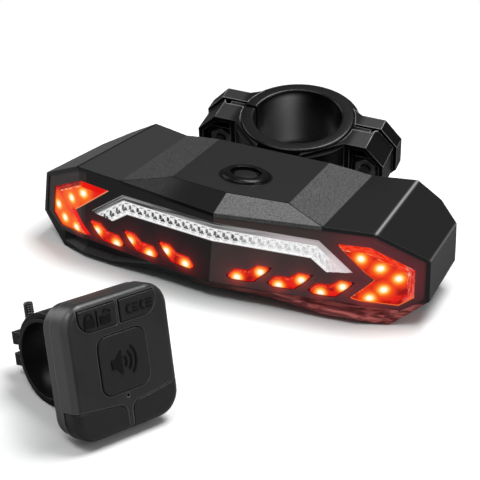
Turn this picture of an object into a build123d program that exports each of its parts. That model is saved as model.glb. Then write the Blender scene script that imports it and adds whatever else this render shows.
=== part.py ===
from build123d import *
import math
import os

# Bicycle brake light: a winged lamp with arrow and chevron lenses, a seat-post clamp behind it, and a
# small remote that straps to the handlebar. Millimetres, +Z up, the lens side faces -Y.
# The origin is on the flat underside of the lamp, on its centre line.

# Lamp housing: the ridges run from front to back, each given at the front and back reference planes
REF_FRONT = -30.0
REF_BACK = 30.0
height = 34.0
panel_half_front = 20.2
panel_half_back = 21.4
valley_x = 35.0
valley_drop_front = 1.6
valley_drop_back = 3.4
shoulder_x_front = 52.0
shoulder_x_back = 50.0
shoulder_drop_front = 0.9
shoulder_drop_back = 3.6
tip_x_front = 68.7
tip_x_back = 67.0
tip_z_front = 24.5
tip_z_back = 20.8
flank_x_front = 69.4
flank_x_back = 69.7
flank_z_front = 8.3
flank_z_back = 10.8
foot_half = 58.5

# Front face: two folded planes on each side
face_y = -33.9
sweep_inner = 0.134
sweep_outer = 0.567
face_lean = 0.034
crease_x = 48.3
crease_splay = 0.11

# Back outline in plan
back_centre_y = 20.6
back_corner_x = 21.3
back_shoulder_x = 50.0
back_shoulder_y = 32.5
back_bend_x = 58.6
back_bend_y = 32.6
back_lean = 0.08
tip_corner_z = 25.75
tip_turn = 41.0
tip_undercut = 15.4

# Slopes that close the top and the bottom of the front face
brow_drop = 3.4
brow_setback = 10.6
brow_run = 1.6
chin_z = 4.4
chin_setback = 9.4
chin_half = 21.0
chin_step_x = 37.6
chin_step_z = 1.7
chin_step_setback = 4.0
chin_reach = 8.0

# Walls, pockets and clearances
wall = 2.2
rim_width = 1.4
rim_tip_in = 0.3
rim_tip_drop = 0.6
rim_flank_rise = 0.4
bezel_recess = 0.3
bezel_thickness = 2.0
fit_gap = 0.1
front_wall_depth = 5.5
slot_depth = 2.6
slot_rise = 2.0
slot_lip = 0.5
slot_toe = 0.2
slot_ramp = 3.0
bezel_start_x = 21.4
bezel_start_z = 6.1
bezel_sag = 0.3
bezel_step_x = 47.0
bezel_step_z = 7.3
bezel_heel_x = 61.2
bezel_heel_z = 5.2
slot_end_x = 58.4

# Lenses
lens_inset = 0.1
flange_margin = 0.6
flange_thickness = 1.0
arrow_tip_x = 39.5
arrow_tip_drop = 6.8
arrow_top_x = 50.8
arrow_top_drop = 6.1
arrow_out_x = 64.1
arrow_out_spread = 0.7
arrow_out_top_z = 20.2
arrow_out_low_z = 9.9
arrow_foot_x = 60.4
arrow_foot_z = 6.8
arrow_heel_x = 45.7
arrow_heel_z = 8.9
arrow_notch_x = 52.8
arrow_notch_z = 16.4
strip_top_share = 0.797
strip_low_share = 0.603
strip_top_rise = 0.2
strip_low_rise = 0.1
strip_bend_x = 34.2
strip_inner_x = 32.2
strip_tip_x = 46.2
strip_tip_z = 18.1
strip_heel_x = 37.4
strip_heel_z = 16.8
chevron_x = 5.3
chevron_share = 0.2706
chevron_pitch = 13.45
chevrons_a_side = 3
chevron_arm_x = 10.1
chevron_length = 15.1
chevron_rise = 5.7
chevron_nose_x = 2.6
chevron_nose_z = 3.1
chevron_bend_x = 7.3
chevron_bend_z = 3.5
chevron_end_x = 13.0
chevron_end_z = 2.9
chevron_under_x = 9.3
chevron_under_z = 0.8
chevron_heel_x = 6.6
chevron_heel_z = 1.1
chevron_foot_x = 1.9
chevron_foot = 1.3

# Boards and lamps behind the lenses
light_box_wall = 0.6
board_depth = 7.0
board_thickness = 1.2
led_size = 2.8
led_height = 1.4
board_split = 0.6
arrow_board_from_x = 46.5
inner_board_to_x = 44.5
strip_led_pitch = 6.0
strip_led_count = 5
led_gap = 0.2
arrow_lamp_first_x = 50.4
arrow_lamp_first_z = 23.3
arrow_lamp_corner_x = 60.6
arrow_lamp_corner_z = 15.6
arrow_lamp_last_x = 52.3
arrow_lamp_last_z = 10.2
mask_boss_inner_x = 8.0
mask_boss_outer_x = 27.0
mask_boss_gap = 0.4
mask_screw_radius = 0.9
mask_screw_length = 3.2
mask_head_height = 1.0

# Power button
button_y = -6.9
trim_radius = 8.7
trim_rise = 1.2
trim_gap_radius = 5.2
trim_edge = 0.5
trim_crown = 0.9
cap_radius = 4.6
cap_top_radius = 3.9
cap_rise = 1.0
cap_dome = 0.45
cap_shoulder = 0.9
cap_travel = 0.8
cap_gap = 0.15
cap_flange = 2.2
cap_flange_thickness = 0.9
guide_height = 3.6
guide_wall = 1.4
switch_size = 6.2
switch_height = 2.3
switch_plunger_radius = 1.6

# Main board, cell and siren
main_board_width = 70.0
main_board_length = 22.0
main_board_drop = 8.7
main_board_thickness = 1.6
board_screw_inset = 3.6
board_head_radius = 2.0
board_head_height = 1.2
chip_pitch = 11.5
chip_offset = 2.5
chip_height = 1.0
controller_size = 7.0
radio_size = 5.0
sensor_size = 3.6
charger_size = 4.2
boss_radius = 2.4
small_screw_radius = 0.9
small_screw_length = 4.5
cell_radius = 9.2
cell_y = -5.0
cradle_wall = 1.4
cradle_drop = 2.0
siren_radius = 8.5
siren_height = 9.0
siren_wall = 1.4
siren_gap = 0.8
siren_edge = 9.7
siren_y = 4.0
sound_hole_radius = 0.8
base_thickness = 2.0
base_gap = 0.15
base_margin = 5.5
base_front_y = -20.0
base_back_y = 14.5
base_corner = 6.0
seal_width = 1.0
seal_inset = 0.7
seal_height = 0.7
post_radius = 3.0
post_board_gap = 3.6
post_cradle_gap = 2.5
post_front_y = -14.0
post_back_x = 20.0
post_back_y = 10.5
post_hole_depth = 9.0
base_screw_radius = 1.25
base_screw_length = 8.0
screw_head_radius = 2.4
screw_head_height = 1.3

# USB port in the back wall of the left wing
port_x = -30.0
port_z = 12.0
port_width = 9.0
port_height = 3.3
port_depth = 7.4
port_inset = 0.8
sleeve_wall = 1.5
cover_width = 16.0
cover_height = 9.0
cover_thickness = 1.6
cover_lift = 0.15
plug_length = 1.2
pin_radius = 0.6
pin_hold = 0.02
pin_clearance = 0.06
knuckle_radius = 1.2
knuckle_gap = 0.2
cover_web = 0.9
hinge_y = 5.9
hinge_z = 1.35
hinge_ear_x = 6.0
ear_width = 2.0
ear_radius = 1.15

# Seat-post clamp, in its own frame: X across, Y towards the post's far side, Z up the post
clamp_y = 48.7
clamp_z = 28.0
clamp_tilt = 18.0
bore_radius = 16.0
liner_wall = 2.0
liner_outer = bore_radius + liner_wall
lip_radius = liner_outer + 2.6
lip_height = 1.8
liner_half_height = 12.5
liner_slit = 1.6
clamp_wall = 4.8
ring_outer = liner_outer + clamp_wall
clamp_half_height = 10.6
lug_half_height = 11.8
lug_side_half = 5.0
half_gap = 0.2
front_lug_x = 35.5
front_lug_shoulder_x = 28.8
front_lug_y = -9.4
lug_inner_x = 20.8
fairing_x = 8.0
fairing_step = 1.4
fairing_rise = 9.0
pad_inner_x = 29.5
pad_top_y = 2.8
pocket_inner_x = 22.8
lug_root_x = 27.0
rear_plate_y = 3.1
rear_plate_thickness = 5.8
rear_lug_x = 36.8
rear_lug_shoulder_x = 30.6
lug_wall = 1.8
pocket_floor = 3.0
bolt_x = 28.0
bolt_radius = 2.0
bolt_clearance = 0.08
bolt_head_radius = 3.5
bolt_head_height = 3.6
bolt_socket_radius = 1.7
bolt_socket_depth = 2.2
bolt_tip = 1.5
nut_flats = 7.0
nut_height = 3.2
nut_seat_wall = 1.6
neck_half = 13.0
neck_low_z = 12.0
neck_top_z = 29.5
neck_reach = 14.0
neck_sink = 1.5
mount_screw_x = 8.5
mount_screw_z = 21.0
mount_screw_radius = 1.6
mount_screw_grip = 5.0
mount_head_height = 1.8

# Remote, in its own frame: X across, Y towards its back, Z up its face
remote_x = 15.1
remote_y = -124.9
remote_heading = 64.8
remote_lean = 17.0
remote_width = 36.0
remote_height = 38.0
remote_corner = 7.0
remote_back_depth = 4.0
remote_front_depth = 6.6
remote_bevel = 2.2
remote_wall = 1.3
key_travel = 0.6
key_gap = 0.25
key_rise = 0.3
horn_half = 8.4
horn_z = 19.3
horn_corner = 3.4
bar_half = 13.4
bar_split = 0.5
bar_corner = 4.4
bar_low_z = 29.8
bar_top_z = 36.4
turn_mid_z = 7.4
turn_rise = 0.11
turn_corner = 2.8
turn_gap_half = 0.9
turn_key_depth = 4.9
key_rim = 0.7
key_rim_thickness = 0.8
status_z = 9.7
status_half = 0.8
status_hole_radius = 0.5
board_near = 4.2
board_far = 5.2
boss_x = 13.9
boss_low_z = 13.0
boss_high_z = 25.6
boss_size = 1.9
tiny_screw_radius = 0.9
tiny_hold = 0.05
tiny_head_height = 1.0
dome_radius = 2.0
strap_bore = 11.1
strap_pad = 0.9
strap_wall = 1.6
strap_half_length = 7.5
ear_height = 5.0
ear_gap = 2.6
ear_length = 8.5
ear_half_width = 4.5
ear_hole_radius = 1.3
ear_hole_depth = 2.4
strap_screw_radius = 1.5
screw_clearance = 0.06
strap_screw_top = 13.0
pad_edge = 0.8
pad_slit = 0.6
strap_head_height = 2.4
strap_nut_height = 1.8
strap_standoff = 14.1
strap_foot_half = 6.0
coin_radius = 10.0
coin_thickness = 3.2
coin_z = 19.3
clip_half = 3.0
clip_thickness = 0.4

# Long enough for bars and blocks that cut right through the lamp
body_reach = 70.0

# Places that follow from the sizes above
valley_z_front = height - valley_drop_front
valley_z_back = height - valley_drop_back
shoulder_z_front = height - shoulder_drop_front
shoulder_z_back = height - shoulder_drop_back
brow_z_centre = height - brow_drop
arrow_tip_z = height - arrow_tip_drop
arrow_top_z = height - arrow_top_drop
strip_top_z = height * strip_top_share
strip_low_z = height * strip_low_share
chevron_z = height * chevron_share
main_board_z = height - main_board_drop
post_front_x = main_board_width / 2 - board_screw_inset + board_head_radius + post_radius + post_board_gap
base_half_length = foot_half - base_margin
siren_x = base_half_length - siren_edge
# The cell is as long as the siren and the front posts let it be
cradle_half = min(siren_x - siren_radius - siren_gap, post_front_x - post_radius - post_cradle_gap)
cell_length = 2 * (cradle_half - cradle_wall - fit_gap)
slot_z = chin_step_z + slot_lip
# The mask's bosses stand between the strip's light box and the chevrons' one
mask_boss_radius = (strip_low_z - chevron_z - chevron_rise) / 2 - flange_margin - mask_boss_gap


# Helpers for outlines and solids

def prism(points, path):
    """A flat polygon through 3-D points, pushed along a vector."""
    face = Face(Wire.make_polygon([Vector(*p) for p in points], close=True))
    return Solid.extrude(face, Vector(*path))


def along_y(outline, start=-body_reach, end=body_reach):
    return prism([(x, start, z) for x, z in outline], (0, end - start, 0))


def along_z(outline, start, end):
    return prism([(x, y, start) for x, y in outline], (0, 0, end - start))


def along_x(outline, start, end):
    return prism([(start, y, z) for y, z in outline], (end - start, 0, 0))


def loft(sections):
    """Straight-ruled solid through polygons with the same number of corners."""
    wires = [Wire.make_polygon([Vector(*p) for p in section], close=True) for section in sections]
    return Solid.make_loft(wires, True)


def rod(start, direction, radius, length):
    """A round bar from a point along a direction."""
    base = Plane(origin=start, z_dir=direction)
    return base * Cylinder(radius, length, align=(Align.CENTER, Align.CENTER, Align.MIN))


def tube(start, direction, inner, outer, length):
    return rod(start, direction, outer, length) - rod(start, direction, inner, length)


def bar_through(x, z, radius):
    """A round bar from front to back, right through the lamp."""
    return rod((x, -body_reach, z), (0, 1, 0), radius, 2 * body_reach)


def standing_bar(radius):
    """A round bar round the Z axis, longer than the clamp on both sides."""
    return rod((0, 0, -body_reach), (0, 0, 1), radius, 2 * body_reach)


def hexagon(x, radius):
    """Six corners round a bolt's axis, one of them straight up."""
    turns = [math.radians(60 * i) for i in range(6)]
    return [(x + radius * math.sin(turn), radius * math.cos(turn)) for turn in turns]


def block(low, high):
    """A box between two corners."""
    size = [b - a for a, b in zip(low, high)]
    return Pos(*low) * Box(*size, align=(Align.MIN, Align.MIN, Align.MIN))


def mirrored(shape):
    return shape.mirror(Plane.YZ)


def both_sides(half_outline):
    """Closes a right-hand outline, top to bottom, with its mirror image."""
    left = [(-x, z) for x, z in reversed(half_outline) if x > 0]
    return half_outline + left


def grow(outline, distance):
    """Moves every edge of an outline outwards, keeping its corners; inwards when negative."""
    count = len(outline)
    area = sum(outline[i - 1][0] * outline[i][1] - outline[i][0] * outline[i - 1][1] for i in range(count))
    side = distance if area > 0 else -distance
    grown = []
    for i in range(count):
        (ax, az), (bx, bz), (cx, cz) = outline[i - 1], outline[i], outline[(i + 1) % count]
        ux, uz = unit(bx - ax, bz - az)
        vx, vz = unit(cx - bx, cz - bz)
        turn = 1 + ux * vx + uz * vz
        grown.append((bx + side * (uz + vz) / turn, bz - side * (ux + vx) / turn))
    return grown


def unit(x, z):
    length = math.hypot(x, z)
    return x / length, z / length


def joined(shapes):
    """Separate solids kept side by side in one node."""
    return Compound(children=[Solid(s.wrapped) if isinstance(s, Solid) else s for s in shapes])


# The folded front face, used for everything that lies on it or behind it

fold = sweep_outer - sweep_inner
lean_outer = face_lean + fold * crease_splay


def face_planes(depth):
    """Where the inner and outer planes cross the middle plane, set back square to each."""
    inner = face_y + depth * math.sqrt(1 + sweep_inner**2 + face_lean**2)
    outer = face_y - fold * crease_x + depth * math.sqrt(1 + sweep_outer**2 + lean_outer**2)
    return inner, outer


def face_at(x, z, depth=0.0):
    inner, outer = face_planes(depth)
    return max(inner + sweep_inner * abs(x) - face_lean * z, outer + sweep_outer * abs(x) - lean_outer * z)


def behind_face(depth):
    """All the space behind the folded face, set back by a depth."""
    reach = 2 * body_reach
    low = -body_reach / 3
    high = body_reach
    inner, outer = face_planes(depth)
    crease = (inner - outer + (lean_outer - face_lean) * low) / fold
    plan = [
        (-reach, inner - sweep_inner * reach - face_lean * low),
        (crease, inner + sweep_inner * crease - face_lean * low),
        (reach, outer + sweep_outer * reach - lean_outer * low),
        (reach, reach),
        (-reach, reach),
    ]
    rise = high - low
    right = prism([(x, y, low) for x, y in plan],
                  (crease_splay * rise, (sweep_inner * crease_splay - face_lean) * rise, rise))
    return right & mirrored(right)


def layer(near, far):
    """The sheet between two depths behind the face."""
    return behind_face(near) - behind_face(far)


# Housing

def at_depth(front, back, y):
    """A ridge's place at a distance along the lamp."""
    return front + (back - front) * (y - REF_FRONT) / (REF_BACK - REF_FRONT)


def section(y, skin):
    """Cross-section of the winged body, its walls drawn in by skin."""
    right = [
        (at_depth(panel_half_front, panel_half_back, y), height),
        (valley_x, at_depth(valley_z_front, valley_z_back, y)),
        (at_depth(shoulder_x_front, shoulder_x_back, y), at_depth(shoulder_z_front, shoulder_z_back, y)),
        (at_depth(tip_x_front, tip_x_back, y), at_depth(tip_z_front, tip_z_back, y)),
        (at_depth(flank_x_front, flank_x_back, y), at_depth(flank_z_front, flank_z_back, y)),
        (foot_half, 0.0),
    ]
    return [(x, y, z) for x, z in grow(both_sides(right), -skin)]


def back_wall_y(x, z):
    """The back wall's place, across its middle and its wings."""
    along = max(0.0, (abs(x) - back_corner_x) / (back_shoulder_x - back_corner_x))
    plan = back_centre_y + min(along, 1.0) * (back_shoulder_y - back_centre_y)
    return plan - back_lean * (height - z)


def within_back(skin):
    """All the space in front of the leaning back walls."""
    reach = 2 * body_reach
    top = 1.5 * height
    drop = 2.5 * height
    right = [
        (back_corner_x, back_centre_y),
        (back_shoulder_x, back_shoulder_y),
        (reach, back_shoulder_y + (back_bend_y - back_shoulder_y) * (reach - back_shoulder_x)
         / (back_bend_x - back_shoulder_x)),
        (reach, -reach),
    ]
    plan = grow(both_sides(right), -skin)
    start = [(x, y + back_lean * (top - height), top) for x, y in plan]
    return prism(start, (0, -back_lean * drop, -drop))


def beyond_tip(skin):
    """The space cut away behind the right wing's tip."""
    turn = math.radians(tip_turn)
    under = math.radians(tip_undercut)
    normal = Vector(math.sin(turn) * math.cos(under), math.cos(turn) * math.cos(under), -math.sin(under))
    corner = Vector(back_bend_x, back_bend_y, tip_corner_z) - normal * skin
    size = 3 * body_reach
    return Plane(origin=corner, z_dir=normal) * Box(size, size, size,
                                                    align=(Align.CENTER, Align.CENTER, Align.MIN))


def above_brow(skin):
    """The space over the slope between the top panel and the face, right half."""
    clear = height
    rim = Vector(0, face_at(0, brow_z_centre), brow_z_centre)
    centre = Vector(0, rim.Y + brow_setback, height)
    corner_y = centre.Y + sweep_inner * panel_half_front
    corner = Vector(at_depth(panel_half_front, panel_half_back, corner_y), corner_y, height)
    valley = Vector(valley_x, face_at(valley_x, valley_z_front), valley_z_front)
    sections = []
    for back, front in ((centre, rim), (corner, valley)):
        ahead = back + (front - back) * brow_run
        ring = (back, ahead, ahead + Vector(0, 0, clear), back + Vector(0, 0, clear))
        sections.append([(p.X, p.Y, p.Z - skin * 1.05) for p in ring])
    return loft(sections)


def below_chin(skin):
    """The space under the slope between the face and the underside, right half."""
    step_slope = chin_step_z / chin_step_setback
    stations = [
        (0.0, chin_z, chin_z / chin_setback),
        (chin_half, chin_z, chin_z / chin_setback),
        (chin_step_x, chin_step_z, step_slope),
        (foot_half, 0.0, step_slope),
    ]
    sections = []
    for x, z, slope in stations:
        y = face_at(x, z)
        lift = skin * 1.1
        sections.append([
            (x, y - chin_reach, z + chin_reach * slope + lift),
            (x, y + (z + chin_reach) / slope, lift - chin_reach),
            (x, y - chin_reach, lift - chin_reach),
        ])
    return loft(sections)


def winged_body(skin, front_depth):
    """The lamp's outer form, or the hollow inside it when skin is above zero."""
    body = loft([section(-body_reach, skin), section(body_reach, skin)])
    body = body & behind_face(front_depth) & within_back(skin)
    for cutter in (beyond_tip(skin), above_brow(skin), below_chin(skin)):
        body = body - cutter - mirrored(cutter)
    return body


def face_rim():
    """Outline of the front face, right half from the top down to the toe."""
    return [
        (0.0, brow_z_centre),
        (valley_x, valley_z_front),
        (shoulder_x_front, shoulder_z_front),
        (tip_x_front - rim_tip_in, tip_z_front - rim_tip_drop),
        (flank_x_front, flank_z_front + rim_flank_rise),
        (foot_half, 0.0),
    ]


def bezel_outline():
    """The mask that fills the face inside its rim: slanted top, wedge under each wing."""
    low = [
        (bezel_heel_x, bezel_heel_z),
        (bezel_step_x, bezel_step_z),
        (bezel_start_x, bezel_start_z),
        (0.0, bezel_start_z - bezel_sag),
    ]
    return grow(both_sides(face_rim()), -rim_width)[:5] + low


def opening_outline():
    return both_sides(bezel_outline())


def mask_low_z(x):
    """The lower edge of the mask over the recess."""
    if x < bezel_step_x:
        along = (x - bezel_start_x) / (bezel_step_x - bezel_start_x)
        return bezel_start_z + along * (bezel_step_z - bezel_start_z)
    along = (x - bezel_step_x) / (bezel_heel_x - bezel_step_x)
    return bezel_step_z + along * (bezel_heel_z - bezel_step_z)


def slot_section(x, low, depth):
    """Cross-section of the recess: its lip slopes inwards and upwards from the face to its back wall."""
    slope = slot_rise / slot_depth
    ahead = 1.0
    y = face_at(x, low)
    return [
        (x, y - ahead, low - ahead * slope),
        (x, y + depth, low + depth * slope),
        (x, y + depth, mask_low_z(x)),
        (x, y - ahead, mask_low_z(x)),
    ]


def slot_cutter():
    """The wedge-shaped recess under the mask, right side, with a ramp at its outer end."""
    return loft([
        slot_section(bezel_start_x, bezel_start_z - slot_toe, slot_toe),
        slot_section(chin_step_x, slot_z, slot_depth),
        slot_section(bezel_step_x, slot_z, slot_depth),
        slot_section(crease_x + crease_splay * slot_z, slot_z, slot_depth),
        slot_section(slot_end_x - slot_ramp, slot_z, slot_depth),
        slot_section(slot_end_x, slot_z, slot_toe),
    ])


def base_outline(margin=0.0):
    """Plan of the base plate, corners cut off."""
    cut = base_corner
    half = base_half_length
    right = [
        (half - cut, base_front_y),
        (half, base_front_y + cut),
        (half, base_back_y - cut),
        (half - cut, base_back_y),
    ]
    left = [(-x, y) for x, y in reversed(right)]
    return grow(right + left, margin)


def post_places():
    return [(side * post_front_x, post_front_y) for side in (1, -1)] + \
        [(side * post_back_x, post_back_y) for side in (1, -1)]


def board_screw_places():
    reach = main_board_width / 2 - board_screw_inset
    span = main_board_length / 2 - board_screw_inset
    return [(sx * reach, button_y + sy * span) for sx in (1, -1) for sy in (1, -1)]


def port_plane():
    """On the back wall of the left wing, X along the wall and Z pointing out of it."""
    run = back_shoulder_x - back_corner_x
    rise = back_shoulder_y - back_centre_y
    along = Vector(-run, rise, 0).normalized()
    normal = Vector(rise, run, -back_lean * run).normalized()
    return Plane(origin=(port_x, back_wall_y(port_x, port_z), port_z), x_dir=along, z_dir=normal)


def make_housing():
    outer = winged_body(0.0, 0.0)
    cavity = winged_body(wall, front_wall_depth)
    opening = along_y(opening_outline()) - behind_face(front_wall_depth + 0.4)
    slot = slot_cutter()
    shell = outer - cavity - opening - slot - mirrored(slot)
    shell = shell - along_z(base_outline(base_gap), -1.0, wall + 1.0)
    for x, y in post_places():
        post = rod((x, y, base_thickness), (0, 0, 1), post_radius, height) & outer
        shell = shell + post - rod((x, y, 0), (0, 0, 1), base_screw_radius + fit_gap, post_hole_depth)
    board_top = main_board_z + main_board_thickness
    for x, y in board_screw_places():
        boss = rod((x, y, board_top), (0, 0, 1), boss_radius, height) & outer
        hole = rod((x, y, main_board_z), (0, 0, 1), small_screw_radius + fit_gap, small_screw_length)
        shell = shell + boss - hole
    guide_low = height - wall - guide_height
    flange = cap_radius + cap_flange
    inner = flange + cap_gap
    shell = shell + tube((0, button_y, guide_low), (0, 0, 1), inner, inner + guide_wall, height - guide_low)
    shell = shell - rod((0, button_y, height - wall - 1), (0, 0, 1), trim_gap_radius, wall + 2)
    shell = shell - rod((0, button_y, guide_low), (0, 0, 1), inner, guide_height)
    sleeve = port_sleeve()
    shell = shell + (sleeve & outer) - port_hole()
    for side in (1, -1):
        x = side * mount_screw_x
        y = back_wall_y(x, mount_screw_z)
        start = (x, y - 2 * wall, mount_screw_z)
        shell = shell - rod(start, (0, 1, 0), mount_screw_radius + fit_gap, 3 * wall)
    for end in (1, -1):
        ear = port_plane() * (Pos(end * hinge_ear_x, hinge_y, 0) * ear_block())
        shell = shell + ear - hinge_bar(2 * hinge_ear_x, pin_radius + pin_hold)
    return shell


def hinge_bar(half, radius):
    """A round bar along the cover's hinge."""
    return port_plane() * (Pos(-half, hinge_y, hinge_z) * Rot(0, 90, 0) * Cylinder(
        radius, 2 * half, align=(Align.CENTER, Align.CENTER, Align.MIN)))


def ear_block():
    foot = Pos(0, 0, -0.5) * Box(ear_width, 2 * ear_radius, hinge_z + 0.5,
                                 align=(Align.CENTER, Align.CENTER, Align.MIN))
    return foot + Pos(-ear_width / 2, 0, hinge_z) * Rot(0, 90, 0) * Cylinder(
        ear_radius, ear_width, align=(Align.CENTER, Align.CENTER, Align.MIN))


def port_sleeve():
    depth = port_depth + 1.2
    size = (port_width + 2 * sleeve_wall, port_height + 2 * sleeve_wall, depth)
    return port_plane() * (Pos(0, 0, -depth) * Box(*size, align=(Align.CENTER, Align.CENTER, Align.MIN)))


def port_hole():
    return port_plane() * Box(port_width + fit_gap, port_height + fit_gap, 4 * port_depth)


def make_base_plate():
    plate = along_z(base_outline(), 0.0, base_thickness)
    for x, y in post_places():
        plate = plate - rod((x, y, -1), (0, 0, 1), base_screw_radius + fit_gap, base_thickness + 2)
        plate = plate - rod((x, y, -1), (0, 0, 1), screw_head_radius + fit_gap, 1 + screw_head_height)
    for x, y in siren_holes():
        plate = plate - rod((x, y, -1), (0, 0, 1), sound_hole_radius, base_thickness + 2)
    return plate


def siren_holes():
    """One hole in the middle and six round it."""
    ring = siren_radius / 2
    return [(siren_x, siren_y)] + [(x, siren_y + y) for x, y in hexagon(siren_x, ring)]


def make_base_seal():
    ring = along_z(base_outline(seal_width), wall, wall + seal_height)
    return ring - along_z(base_outline(-seal_inset), wall - 1, wall + seal_height + 1)


def screw(place, direction, radius, length, head_radius, head_height):
    """Head first, then its shank, from the head's outer face."""
    return rod(place, direction, head_radius, head_height) + rod(place, direction, radius, length)


def make_base_screws():
    return joined([screw((x, y, 0.0), (0, 0, 1), base_screw_radius, base_screw_length, screw_head_radius,
                         screw_head_height) for x, y in post_places()])


# Mask, lenses and what lies behind them

def arrow_outline():
    return [
        (arrow_tip_x, arrow_tip_z),
        (arrow_top_x, arrow_top_z),
        (arrow_out_x, arrow_out_top_z),
        (arrow_out_x + arrow_out_spread, arrow_out_low_z),
        (arrow_foot_x, arrow_foot_z),
        (arrow_heel_x, arrow_heel_z),
        (arrow_notch_x, arrow_notch_z),
    ]


def strip_outline():
    """The full-width strip whose ends turn down and outwards."""
    return both_sides([
        (0.0, strip_top_z),
        (strip_bend_x, strip_top_z + strip_top_rise),
        (strip_tip_x, strip_tip_z),
        (strip_heel_x, strip_heel_z),
        (strip_inner_x, strip_low_z + strip_low_rise),
        (0.0, strip_low_z),
    ])


def chevron_outline(index):
    """One arrow-like chip, three of them in a row on each side."""
    x = chevron_x + index * chevron_pitch
    z = chevron_z
    return [
        (x, z),
        (x + chevron_nose_x, z + chevron_nose_z),
        (x + chevron_bend_x, z + chevron_bend_z),
        (x + chevron_arm_x, z + chevron_rise),
        (x + chevron_length, z + chevron_rise),
        (x + chevron_end_x, z + chevron_end_z),
        (x + chevron_under_x, z - chevron_under_z),
        (x + chevron_heel_x, z - chevron_heel_z),
        (x + chevron_foot_x, z - chevron_foot),
    ]


def chevron_plate_outline():
    """The plate that joins one side's three chevrons."""
    last = chevron_outline(chevrons_a_side - 1)
    low = chevron_z - chevron_foot - flange_margin
    high = chevron_z + chevron_rise + flange_margin
    return [
        (chevron_x - flange_margin, low),
        (last[6][0], low + 0.2),
        (last[4][0] + 0.8, high),
        (chevron_x + 1.6, high),
        (chevron_x - flange_margin, chevron_z),
    ]


def lens(windows, flange):
    """The part that shows in each window, and the flange behind the mask that holds it."""
    front = bezel_recess + bezel_thickness
    body = flange & layer(front, front + flange_thickness)
    for window in windows:
        body = body + (along_y(grow(window, -fit_gap)) & layer(lens_inset, front + flange_thickness / 2))
    return body


def light_box(outline, windows, holes):
    """A block behind a lens: open windows at its front, a floor with a hole for each lamp."""
    near = bezel_recess + bezel_thickness + flange_thickness
    floor = board_depth - light_box_wall
    body = along_y(outline) & layer(near, board_depth)
    for window in windows:
        body = body - (along_y(window) & layer(near - 1, floor))
    for x, z in holes:
        body = body - along_y(square_at(x, z, led_size / 2 + led_gap))
    return body


def framed_box(outline, holes):
    """A light box round one window, its walls just inside the window's edge."""
    return light_box(grow(outline, flange_margin), [grow(outline, -light_box_wall)], holes)


def square_at(x, z, half):
    return [(x - half, z - half), (x + half, z - half), (x + half, z + half), (x - half, z + half)]


def lamp(x, z):
    """One light-emitting diode on its board."""
    return along_y(square_at(x, z, led_size / 2)) & layer(board_depth - led_height, board_depth)


def arrow_lamps():
    """Five lamps along the arrow's point: both ends, its corner and one in the middle of each arm."""
    first = (arrow_lamp_first_x, arrow_lamp_first_z)
    corner = (arrow_lamp_corner_x, arrow_lamp_corner_z)
    last = (arrow_lamp_last_x, arrow_lamp_last_z)
    return [first, middle(first, corner), corner, middle(corner, last), last]


def middle(a, b):
    return (a[0] + b[0]) / 2, (a[1] + b[1]) / 2


def chevron_lamps():
    """Two lamps in each chevron."""
    places = []
    for index in range(chevrons_a_side):
        x = chevron_x + index * chevron_pitch
        places += [(x + 4.2, chevron_z + 0.9), (x + 11.0, chevron_z + 3.1)]
    return places


def strip_lamps():
    """A row along the strip, with two more down its sloping end."""
    row_z = (strip_top_z + strip_low_z) / 2
    row = [(strip_led_pitch * (i + 0.5), row_z) for i in range(strip_led_count)]
    tip = middle((strip_tip_x, strip_tip_z), (strip_heel_x, strip_heel_z))
    bend = (strip_inner_x + led_size / 2, row_z - led_gap)
    return row + [bend, middle((strip_inner_x, strip_low_z), tip)]


def mask_boss_places():
    row_z = (strip_low_z + chevron_z + chevron_rise) / 2
    return [(mask_boss_inner_x, row_z), (mask_boss_outer_x, row_z)]


def make_bezel():
    front = bezel_recess + bezel_thickness
    mask = along_y(grow(opening_outline(), -fit_gap)) & layer(bezel_recess, front)
    windows = [strip_outline(), arrow_outline()] + [chevron_outline(i) for i in range(chevrons_a_side)]
    for window in windows:
        hole = along_y(window)
        mask = mask - hole
        if window is not windows[0]:
            mask = mask - mirrored(hole)
    for x, z in mask_boss_places():
        for side in (1, -1):
            boss = bar_through(side * x, z, mask_boss_radius) & layer(front - 0.5, board_depth)
            hole = bar_through(side * x, z, mask_screw_radius + fit_gap)
            mask = mask + boss - (hole & layer(board_depth - mask_screw_length - 0.3, board_depth + 1))
    return mask


def make_inner_board():
    """Behind the strip and chevrons of one wing."""
    low = chevron_z - chevron_foot
    top = strip_top_z + 1
    outline = [(board_split, low), (inner_board_to_x, low), (inner_board_to_x, top), (board_split, top)]
    board = along_y(outline) & layer(board_depth, board_depth + board_thickness)
    for x, z in mask_boss_places():
        board = board - bar_through(x, z, mask_screw_radius + fit_gap)
    return board


def make_arrow_board():
    outline = [
        (arrow_board_from_x, arrow_heel_z - 0.6),
        (arrow_foot_x, arrow_foot_z + 0.4),
        (arrow_out_x + 0.3, arrow_out_low_z),
        (arrow_out_x + 0.3, arrow_out_top_z - 0.2),
        (arrow_top_x, arrow_top_z),
        (arrow_board_from_x + 2.4, arrow_top_z),
    ]
    return along_y(outline) & layer(board_depth, board_depth + board_thickness)


def make_mask_screws():
    """Screws that hold the boards against the mask."""
    screws = []
    seat = board_depth + board_thickness
    for x, z in mask_boss_places():
        for side in (1, -1):
            shank = bar_through(side * x, z, mask_screw_radius)
            shank = shank & layer(board_depth - mask_screw_length, seat + 0.2)
            head = bar_through(side * x, z, 2 * mask_screw_radius) & layer(seat, seat + mask_head_height)
            screws.append(shank + head)
    return joined(screws)


# Power button, main board, cell, siren and charging port

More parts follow.
